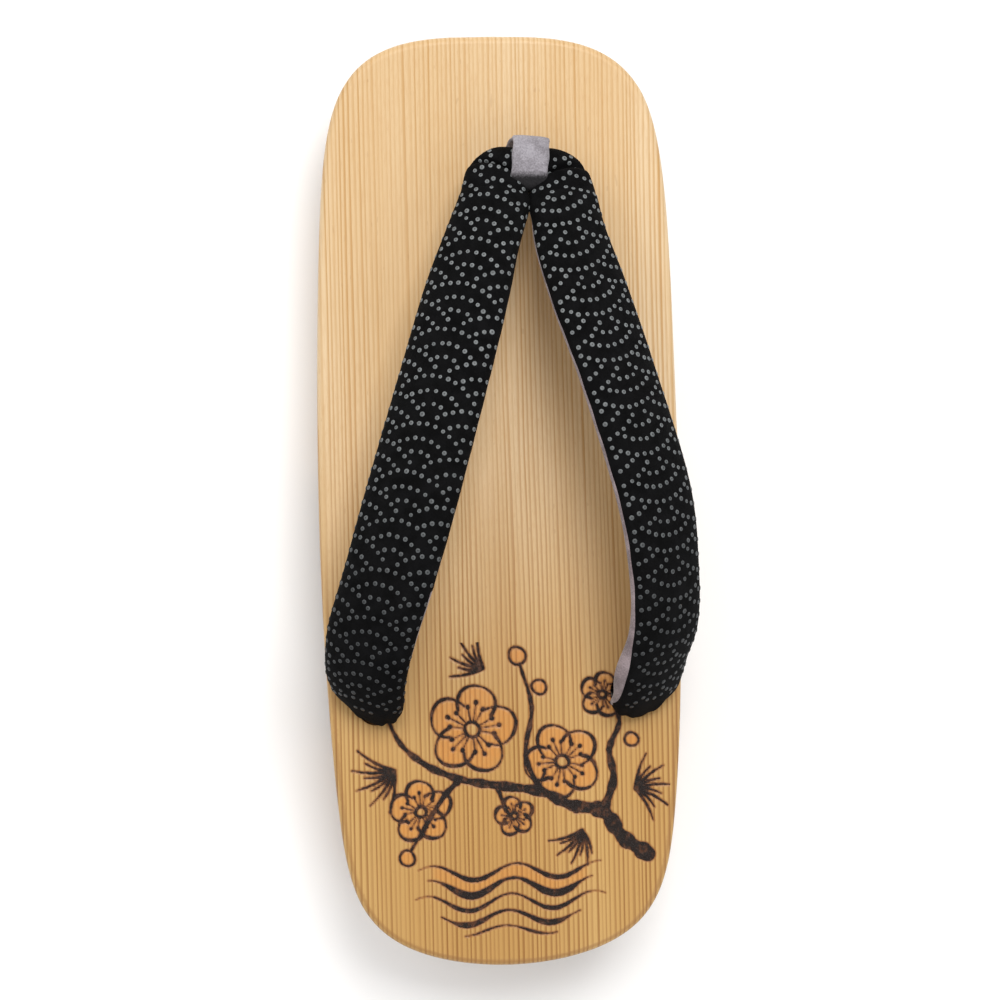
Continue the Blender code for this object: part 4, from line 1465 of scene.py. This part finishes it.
@dataclass
class DotPrint:
    """Raised dots on the cotton in rows of waves: dotted arcs, each row half an arc to the side."""

    strap: Strap
    arcs: tuple = (
        # radius, degrees between dots, dots to each side of the middle one
        (0.01500, 9.0, 5),
        (0.01095, 12.0, 3),
        (0.00730, 19.0, 1),
    )
    half_across: float = 0.01275
    half_along: float = 0.00662
    dot_radius: float = 0.00066
    dot_height: float = 0.00016
    sides: int = 10
    phases: tuple = ((-0.0010, 0.0027), (-0.0012, 0.0001))
    jitter: float = 0.00010
    bare_end: float = 0.0210
    bare_neck: float = 0.0035
    gather_share: float = 0.62
    fold_reach: float = 0.018
    fold_tilt: float = 0.55
    size_spread: float = 0.06
    ring_shares: tuple = (1.0, 0.86, 0.48)
    ring_heights: tuple = (-0.35, 0.62, 1.0)
    middle_heights: tuple = (0.45, -0.35)
    cloth_reach: float = 0.20

    def pattern(self, reach: float) -> np.ndarray:
        """Places of the dots on flat cloth, as (across, along), arcs bulging along +.

        A scale's dots stand on three arcs about its middle, one on its axis and the others at even steps to
        each side of it, as far as the scales beside it leave the arc free.

        Args:
            reach: Half the length of cloth to fill.

        Returns:
            One row a dot.
        """
        made = []
        for radius, step, count in self.arcs:
            angles = np.radians(step) * np.arange(-count, count + 1)
            made.append(radius * np.column_stack([np.sin(angles), np.cos(angles)]))
        rows = np.arange(-int(reach / self.half_along) - 3, int(reach / self.half_along) + 4)
        row, column = (part.ravel() for part in np.meshgrid(rows, np.arange(-3, 4)))
        used = (row + column) % 2 == 0
        centres = np.column_stack([self.half_across * column[used], self.half_along * row[used]])
        return (centres[:, None] + np.vstack(made)[None]).reshape(-1, 2)

    def build(self, finish: bpy.types.Material) -> bpy.types.Object:
        """Builds the dots as one mesh: low domes with a pit, set square to the cotton.

        A dot's ring on the tube is where the length along it is the dot's, and its place round the tube is
        where the length round the section from the top is the dot's. The cloth between grid points is
        bilinear. Cloth that is gathered at a bend to less than a set share of its length carries no dots, nor
        do the steep sides beside the fold.

        Args:
            finish: The lacquer.

        Returns:
            The dots.
        """
        points, marks, angles = self.strap.surface()
        rings, sides = points.shape[:2]
        marks = self.crown_lengths(self.on_crown(points, angles), marks)
        girth = np.linalg.norm(np.diff(np.concatenate([points, points[:, :1]], axis=1), axis=1), axis=-1)
        around = np.concatenate([np.zeros((rings, 1)), np.cumsum(girth, axis=1)], axis=1)
        around = around - self.on_crown(around[..., None], angles)
        flat = self.pattern(self.cloth_reach)
        rng = np.random.default_rng(RANDOM_SEED)
        places = []
        for side, (offset, shift) in zip((-1, 1), self.phases):
            across, along = flat[:, 0] + offset, flat[:, 1] + shift
            inner = (along > marks[0] + self.bare_end) & (along < marks[-1] - self.bare_end)
            keep = inner & (along * side > self.bare_neck)
            places.append(np.column_stack([across[keep] * -1.0, along[keep]]))
        places = np.vstack(places)
        places = places + rng.normal(0.0, self.jitter, places.shape)
        ring = np.interp(places[:, 1], marks, np.arange(rings))
        whole = np.clip(ring.astype(int), 0, rings - 2)
        part = (ring - whole)[:, None]
        rows = around[whole] * (1 - part) + around[whole + 1] * part
        column = (rows[:, 1:] < places[:, :1]).sum(axis=1).clip(0, sides - 1)
        index = np.arange(len(places))
        low, high = rows[index, column], rows[index, column + 1]
        turn = (places[:, 0] - low) / np.maximum(high - low, 1e-9)
        pace = np.linalg.norm(points[whole + 1, column] - points[whole, column], axis=-1)
        gathered = pace < self.gather_share * (marks[whole + 1] - marks[whole])
        on_cover = (column > 0) & (column < self.strap.cover_sides - 1)
        inside = (turn > 0.0) & (turn < 1.0) & on_cover & ~gathered
        whole, part, column, turn = whole[inside], part[inside, 0], column[inside], turn[inside]
        follow = (column + 1) % sides
        a, b = points[whole, column], points[whole, follow]
        d, c = points[whole + 1, column], points[whole + 1, follow]
        part, turn = part[:, None], turn[:, None]
        middle = (a * (1 - turn) + b * turn) * (1 - part) + (d * (1 - turn) + c * turn) * part
        first = unit(b + c - a - d)
        normal = unit(np.cross(first, c + d - a - b))
        outward = np.sign(np.einsum("ij,ij->i", normal, middle - points[whole].mean(axis=1)))[:, None]
        normal = normal * outward
        second = np.cross(normal, first)
        seen = (np.abs(marks[whole]) > self.fold_reach) | (normal[:, 2] > self.fold_tilt)
        return self.domes(middle[seen], first[seen], second[seen], normal[seen], finish, rng)

    def on_crown(self, values: np.ndarray, angles: np.ndarray) -> np.ndarray:
        """Values at the top of each ring, between the two columns of the cover that stand nearest to it.

        Args:
            values: One row of values at each ring and column.
            angles: The columns' angles in radians at each ring, with even steps over the cover.

        Returns:
            One row of values a ring.
        """
        place = (math.pi / 2 - angles[:, 0]) / (angles[:, 1] - angles[:, 0])
        column, ring = place.astype(int), np.arange(len(values))
        share = (place - column)[:, None]
        return values[ring, column] * (1 - share) + values[ring, column + 1] * share

    def crown_lengths(self, crown: np.ndarray, marks: np.ndarray) -> np.ndarray:
        """Lengths along the tube's upper line, 0 where marks is 0."""
        lengths = np.concatenate([[0.0], np.cumsum(np.linalg.norm(np.diff(crown, axis=0), axis=1))])
        return lengths - np.interp(0.0, marks, lengths)

    def domes(
        self,
        middle: np.ndarray,
        first: np.ndarray,
        second: np.ndarray,
        normal: np.ndarray,
        finish: bpy.types.Material,
        rng: np.random.Generator,
    ) -> bpy.types.Object:
        """Sets one dome a place: rings at set shares of the radius and height, closed by a point in its pit.

        Args:
            middle: The dots' places.
            first: One way along the cloth at each.
            second: The other way along the cloth.
            normal: The way out of the cloth.
            finish: The lacquer.
            rng: Source of the small changes of size.

        Returns:
            The dots' piece.
        """
        shares, sides = np.array(self.ring_shares), self.sides
        angles = full_circle(sides)
        across = np.concatenate([np.outer(shares, np.cos(angles)).ravel(), [0.0, 0.0]]) * self.dot_radius
        along = np.concatenate([np.outer(shares, np.sin(angles)).ravel(), [0.0, 0.0]]) * self.dot_radius
        lift = np.concatenate([np.repeat(self.ring_heights, sides), self.middle_heights]) * self.dot_height
        size = rng.normal(1.0, self.size_spread, len(middle))[:, None, None]
        pairs = ((first, across), (second, along), (normal, lift))
        offsets = [axis[:, None] * part[None, :, None] for axis, part in pairs]
        points = middle[:, None] + size * sum(offsets)
        count = len(lift)
        steps = (np.arange(len(middle)) * count)[:, None, None]
        outer, inner = np.arange(sides), (len(shares) - 1) * sides + np.arange(sides)
        caps = [fan_faces(inner, count - 2), fan_faces(outer[::-1], count - 1)]
        parts = [tube_faces(len(shares), sides), *caps]
        faces = [(part[None] + steps).reshape(-1, part.shape[1]) for part in parts]
        dots = make_piece("strap_dots", points.reshape(-1, 3), faces, Slot.COTTON, finish)
        pit = np.concatenate([np.repeat(shares, sides), [0.0, 1.0]])
        add_attribute(dots, "pit", np.tile(pit, len(middle)))
        return dots


# The front loop and the knots


@dataclass
class FrontLoop:
    """The felt band round the strap's neck, whose legs go down the front hole and meet above the knot."""

    strap: Strap
    width: float = 0.0100
    thickness: float = 0.0017
    bite: float = 0.0006
    turn: float = -5.0
    squareness: float = 3.2
    crown_roundness: float = 0.66
    crown_steps: int = 6
    leg_width: float = 0.0068
    leg_spread: float = 0.0021
    clearance: float = 0.0004
    rings: int = 260
    sides: int = 28
    waver: tuple = (0.00025, 0.29)
    side_rows: tuple = (
        # spread, drop to the board's face and width, as shares
        (1.000, 0.000, 1.00),
        (0.960, 0.226, 1.00),
        (0.720, 0.660, 0.92),
        (0.425, 0.880, 0.55),
    )
    leg_rows: tuple = (
        # spread, drop into the hole and width, as shares
        (1.0, 0.0, 0.2),
        (1.0, 0.18, 0.0),
        (1.0, 0.5, 0.0),
        (1.0, 0.89, 0.0),
        (0.5, 0.98, 0.0),
    )

    def stations(self) -> tuple[np.ndarray, float]:
        """Stations round the closed band, from the crown down one side, under and up the other.

        Returns:
            Spread, drop from the neck and width share of each, and the drop to the top face.
        """
        neck, hole = self.strap.neck_centre(), self.strap.board.front_hole_top()
        gap = self.clearance + self.thickness / 2 - self.bite
        reach = (self.strap.neck[0] + self.strap.loop_slack) / 2 + gap
        crown = self.strap.neck[1] / 2 + gap
        base_drop = hole[2] - neck[2]
        foot = self.strap.board.knot_pocket[1] + self.thickness / 2 + self.clearance - neck[2]
        angles = math.pi / 2 * (1 - np.arange(self.crown_steps) / self.crown_steps)
        power = self.crown_roundness
        spread, drop = reach * np.cos(angles) ** power, crown * np.sin(angles) ** power
        top = np.column_stack([spread, drop, np.ones(len(angles))])
        sides = np.array(self.side_rows) * [reach, base_drop, 1.0]
        legs = np.array(self.leg_rows) * [self.leg_spread, foot - base_drop, 1.0] + [0.0, base_drop, 0.0]
        half = np.vstack([top, sides, legs])
        return np.vstack([half, [[0.0, foot, 0.0]], half[:0:-1] * [-1.0, 1.0, 1.0]]), base_drop

    def build(self, felt: bpy.types.Material) -> bpy.types.Object:
        """Builds the band: a flat rounded section carried round the closed path of its stations.

        Args:
            felt: The finish.

        Returns:
            The band.
        """
        table, base_drop = self.stations()
        fine = spline(np.vstack([table[-2:], table, table[:3]]), 8)[16:-16]
        made, _ = even(fine[:, :2], fine, self.rings + 1)
        made = made[:-1]
        spread, drop, share = made.T
        tangent = unit(np.roll(made[:, :2], -1, axis=0) - np.roll(made[:, :2], 1, axis=0))
        normal = np.column_stack([np.zeros(self.rings), tangent[:, 1], -tangent[:, 0]])
        section = rounded_section(full_circle(self.sides), self.squareness)
        width = self.leg_width + (self.width - self.leg_width) * share
        width = width + self.waver[0] * np.sin(np.arange(self.rings) * self.waver[1]) * share
        lean = self.strap.neck_lean * np.clip(1 - drop / base_drop, 0.0, 1.0)
        hole = self.strap.board.front_hole_top()
        flat = np.zeros((self.rings, self.sides, 3))
        flat[..., 0] = section[:, 0] * width[:, None] / 2
        flat[..., 1] = spread[:, None]
        flat += normal[:, None] * (section[:, 1] * self.thickness / 2)[None, :, None]
        turn = math.radians(self.turn)
        across = np.array([math.cos(turn), math.sin(turn), 0.0])
        along = np.array([-math.sin(turn), math.cos(turn), 0.0])
        points = flat[..., :1] * across + flat[..., 1:2] * along + flat[..., 2:] * [0.0, 0.0, 1.0]
        points += hole + np.column_stack([lean, np.zeros(self.rings), drop - base_drop])[:, None]
        faces = tube_faces(self.rings, self.sides, closed=True)
        loop = make_piece("felt_loop", points.reshape(-1, 3), [faces], Slot.FELT, felt)
        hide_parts("front_loop")
        return loop


@dataclass
class Knot:
    """A tight knot of twisted cord: a trefoil under its hole, with a stem up into it and two cut tails."""

    name: str
    node: str
    seat: np.ndarray
    way: np.ndarray
    stem: float
    ring_radius: float = 0.0034
    weave_radius: float = 0.0016
    cord_radius: float = 0.0016
    height: float = 0.0090
    strand_depth: float = 0.13
    strand_turns: float = 420.0
    ring_step: float = 0.00024
    sides: int = 18
    tails: tuple = (
        # across, along, and height as a share of the knot's
        ((0.0026, 0.001, 0.5), (0.0036, 0.0022, 0.75), (0.0040, 0.0032, 0.99)),
        ((-0.0020, -0.0016, 0.5), (-0.0030, -0.0026, 0.75), (-0.0030, -0.0038, 0.97)),
    )

    def cord(self, path: np.ndarray, closed: bool) -> tuple[np.ndarray, list]:
        """A three-strand cord along a path: radius c(1 + d·cos(3(a - k·s))) at angle a and length s.

        Args:
            path: The cord's middle line.
            closed: Whether its end meets its start.

        Returns:
            Points, and faces as a list of arrays.
        """
        length = np.linalg.norm(np.diff(path, axis=0), axis=1).sum()
        made, marks = even(path, path, int(length / self.ring_step) + 2)
        made, marks = (made[:-1], marks[:-1]) if closed else (made, marks)
        count = len(made)
        rolled = np.roll(made, -1, axis=0) - np.roll(made, 1, axis=0)
        tangent = unit(rolled if closed else np.gradient(made, axis=0))
        first, second = crossways(tangent, (0.31, 0.22, 0.93))
        angles = full_circle(self.sides)
        third = 2 * math.pi / 3
        whole_turns = round(marks[-1] * self.strand_turns / third) * third / marks[-1]
        strands = np.cos(3 * (angles - whole_turns * marks[:, None]))
        radius = self.cord_radius * (1 + self.strand_depth * strands)
        offset = np.cos(angles)[:, None] * first[:, None] + np.sin(angles)[:, None] * second[:, None]
        points = (made[:, None] + offset * radius[..., None]).reshape(-1, 3)
        faces = [tube_faces(count, self.sides, closed)]
        if not closed:
            points = np.vstack([points, made[0], made[-1]])
            first_ring, last_ring = np.arange(self.sides), (count - 1) * self.sides + np.arange(self.sides)
            faces.append(fan_faces(first_ring[::-1], len(points) - 2))
            faces.append(fan_faces(last_ring, len(points) - 1))
        return points, faces

    def build(self, finish: bpy.types.Material) -> bpy.types.Object:
        """Builds the knot: a trefoil, its stem and two tails.

        The trefoil's middle line is ((R + w·cos 3t)·cos 2t, (R + w·cos 3t)·sin 2t, h·sin 3t).

        Args:
            finish: The cord's finish.

        Returns:
            The knot.
        """
        t = np.linspace(0.0, 2 * math.pi, 400)
        reach = self.ring_radius + self.weave_radius * np.cos(3 * t)
        middle = self.height / 2
        weave = (self.height / 2 - self.cord_radius * 1.15) * np.sin(3 * t)
        trefoil = np.column_stack([reach * np.cos(2 * t), reach * np.sin(2 * t), middle + weave])
        core = np.array([[0, 0, -self.stem - 1e-4], [0, 0, middle * 0.5], [0.0004, 0.0003, middle * 1.35]])
        tails = [np.array(tail) * [1.0, 1.0, self.height] for tail in self.tails]
        axis = unit(np.asarray(self.way, float))
        turn = np.stack([*crossways(axis, (0.0, 1.0, 0.2)), axis])
        points, faces, start = [], [], 0
        for path, closed in [(trefoil, True), (core, False), (tails[0], False), (tails[1], False)]:
            part, part_faces = self.cord(path, closed)
            points.append(self.seat + part @ turn)
            faces += [part_face + start for part_face in part_faces]
            start += len(part)
        knot = make_piece(self.name, np.vstack(points), faces, Slot.CORD, finish)
        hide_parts(self.node)
        return knot


# Gap under the pocket's roof, way past the arch's roof, and way down a rear hole to where its stem starts
KNOT_GAP = 0.0004
REAR_KNOT_DROP = 0.0013
REAR_STEM_START = 0.0084


def make_knots(board: Board) -> list[Knot]:
    """Places the three knots: one in the pocket under the front hole, two where the rear holes end.

    Args:
        board: The board whose holes they close.

    Returns:
        The knots.
    """
    front = board.front_hole_top()
    front[2] = board.knot_pocket[1] - KNOT_GAP
    knots = [Knot("front_cord_knot", "front_knot", front, np.array([0.0, 0.0, -1.0]), 0.0)]
    for side, place in ((-1, "left"), (1, "right")):
        hole, way = board.rear_hole_way(side)
        lengths = np.arange(0.0, 0.04, 0.0002)
        down = hole + way * lengths[:, None]
        under = down[:, 2] <= board.bottom_height(board.length / 2 - down[:, 1])
        length = lengths[np.argmax(under)] + REAR_KNOT_DROP
        seat = hole + way * length
        knots.append(Knot(f"{place}_cord_knot", f"rear_knot_{place}", seat, way, length - REAR_STEM_START))
    return knots


# The studio


@dataclass
class Studio:
    """A pale floor, soft lights and the camera, high over the pair's middle as in the photograph."""

    eye: tuple = (-0.0491, 0.0017, 0.654)
    target: tuple = (0.0, 0.0, 0.034)
    roll: float = 1.31
    focal_share: float = 2.2545
    sensor: float = 36.0
    floor_size: float = 6.0
    floor_colour: tuple = (0.90, 0.90, 0.90)
    floor_roughness: float = 0.8
    world_light: float = 0.60
    clip: tuple = (0.05, 20.0)
    lights: tuple = (
        # name, place, side in metres, power in watts, colour
        ("key_light", (0.16, 0.60, 1.20), 0.60, 11.6, (1.0, 0.99, 0.975)),
        ("side_light", (-0.75, 0.55, 0.95), 0.9, 4.2, (1.0, 0.99, 0.98)),
        ("fill_light", (0.5, -0.9, 1.0), 1.2, 4.6, (0.96, 0.98, 1.0)),
    )

    def build(self) -> None:
        """Makes the floor, the lights and the camera, and shows colours as they are."""
        bpy.context.scene.view_settings.view_transform = "Standard"
        self.make_floor()
        self.make_world()
        for light in self.lights:
            self.make_light(*light)
        self.make_camera()

    def make_floor(self) -> None:
        """A wide square at height 0."""
        g = NodeGraph("studio_floor")
        g.surface(Base_Color=(*self.floor_colour, 1.0), Roughness=self.floor_roughness)
        half = self.floor_size / 2
        mesh = bpy.data.meshes.new("floor")
        corners = [(-half, -half, 0.0), (half, -half, 0.0), (half, half, 0.0), (-half, half, 0.0)]
        mesh.from_pydata(corners, [], [(0, 1, 2, 3)])
        mesh.materials.append(g.material)
        add_object("floor", mesh)

    def make_world(self) -> None:
        """An even pale surround."""
        world = bpy.data.worlds.new("surround")
        world.use_nodes = True
        background = world.node_tree.nodes["Background"]
        background.inputs["Color"].default_value = (1.0, 1.0, 1.0, 1.0)
        background.inputs["Strength"].default_value = self.world_light
        bpy.context.scene.world = world

    def make_light(self, name: str, place: tuple, size: float, power: float, colour: tuple) -> None:
        """A square area light aimed at the sandal.

        Args:
            name: The light's name.
            place: Its place.
            size: Its side.
            power: Its power in watts.
            colour: Its colour.
        """
        light = bpy.data.lights.new(name, "AREA")
        light.shape, light.size, light.energy, light.color = "SQUARE", size, power, colour
        lamp = add_object(name, light)
        lamp.location = place
        lamp.rotation_euler = (Vector(self.target) - Vector(place)).to_track_quat("-Z", "Y").to_euler()

    def make_camera(self) -> None:
        """A camera at the eye, aimed at the target, rolled so that the toe leans to the picture's left."""
        data = bpy.data.cameras.new("camera")
        data.sensor_width = self.sensor
        data.lens = self.focal_share * self.sensor
        data.clip_start, data.clip_end = self.clip
        camera = add_object("camera", data)
        camera.location = self.eye
        back = unit(np.array(self.eye) - np.array(self.target))
        roll = math.radians(self.roll)
        up = np.array([math.sin(roll), math.cos(roll), 0.0])
        right = unit(np.cross(up, back))
        up = np.cross(back, right)
        camera.rotation_mode = "QUATERNION"
        turn = np.column_stack([right, up, back])
        camera.rotation_quaternion = Matrix(turn.tolist()).to_quaternion()
        bpy.context.scene.camera = camera


def report(piece: bpy.types.Object) -> None:
    """Logs a piece's name and its count of faces."""
    LOG.info("%s: %d faces", piece.name, len(piece.data.polygons))


def main() -> None:
    """Builds the sandal's pieces in order, then the studio."""
    logging.basicConfig(level=logging.INFO, format="%(name)s: %(message)s")
    cotton = ClothFinish(
        "black_cotton",
        (0.0016, 0.0016, 0.0017),
        (0.0046, 0.0046, 0.0050),
        grain=0.00034,
        depth=0.00012,
        sheen=0.006,
        specular=0.07,
    )
    velour = ClothFinish("grey_velour", (0.15, 0.115, 0.12), (0.31, 0.25, 0.26), 0.00042, 0.00022, 0.35)
    felt = ClothFinish(
        "grey_felt",
        (0.18, 0.165, 0.18),
        (0.36, 0.34, 0.37),
        grain=0.00050,
        depth=0.00030,
        sheen=0.08,
        # Painted shadow on the band's heel-side end, where it curves down behind the strap's neck
        painted_shadow_end=(0.0897, 0.0872),
    )
    cord = ClothFinish("cotton_cord", (0.055, 0.05, 0.05), (0.14, 0.13, 0.13), 0.00030, 0.00010, 0.15)
    board = Board()
    report(board.build(CedarFinish().build(), BurntDrawing()))
    strap = Strap(board)
    report(strap.build(cotton.build(), velour.build()))
    report(DotPrint(strap).build(DotFinish().build()))
    report(FrontLoop(strap).build(felt.build()))
    cord_finish = cord.build()
    for knot in make_knots(board):
        report(knot.build(cord_finish))
    Studio().build()


if __name__ == "__main__":
    main()
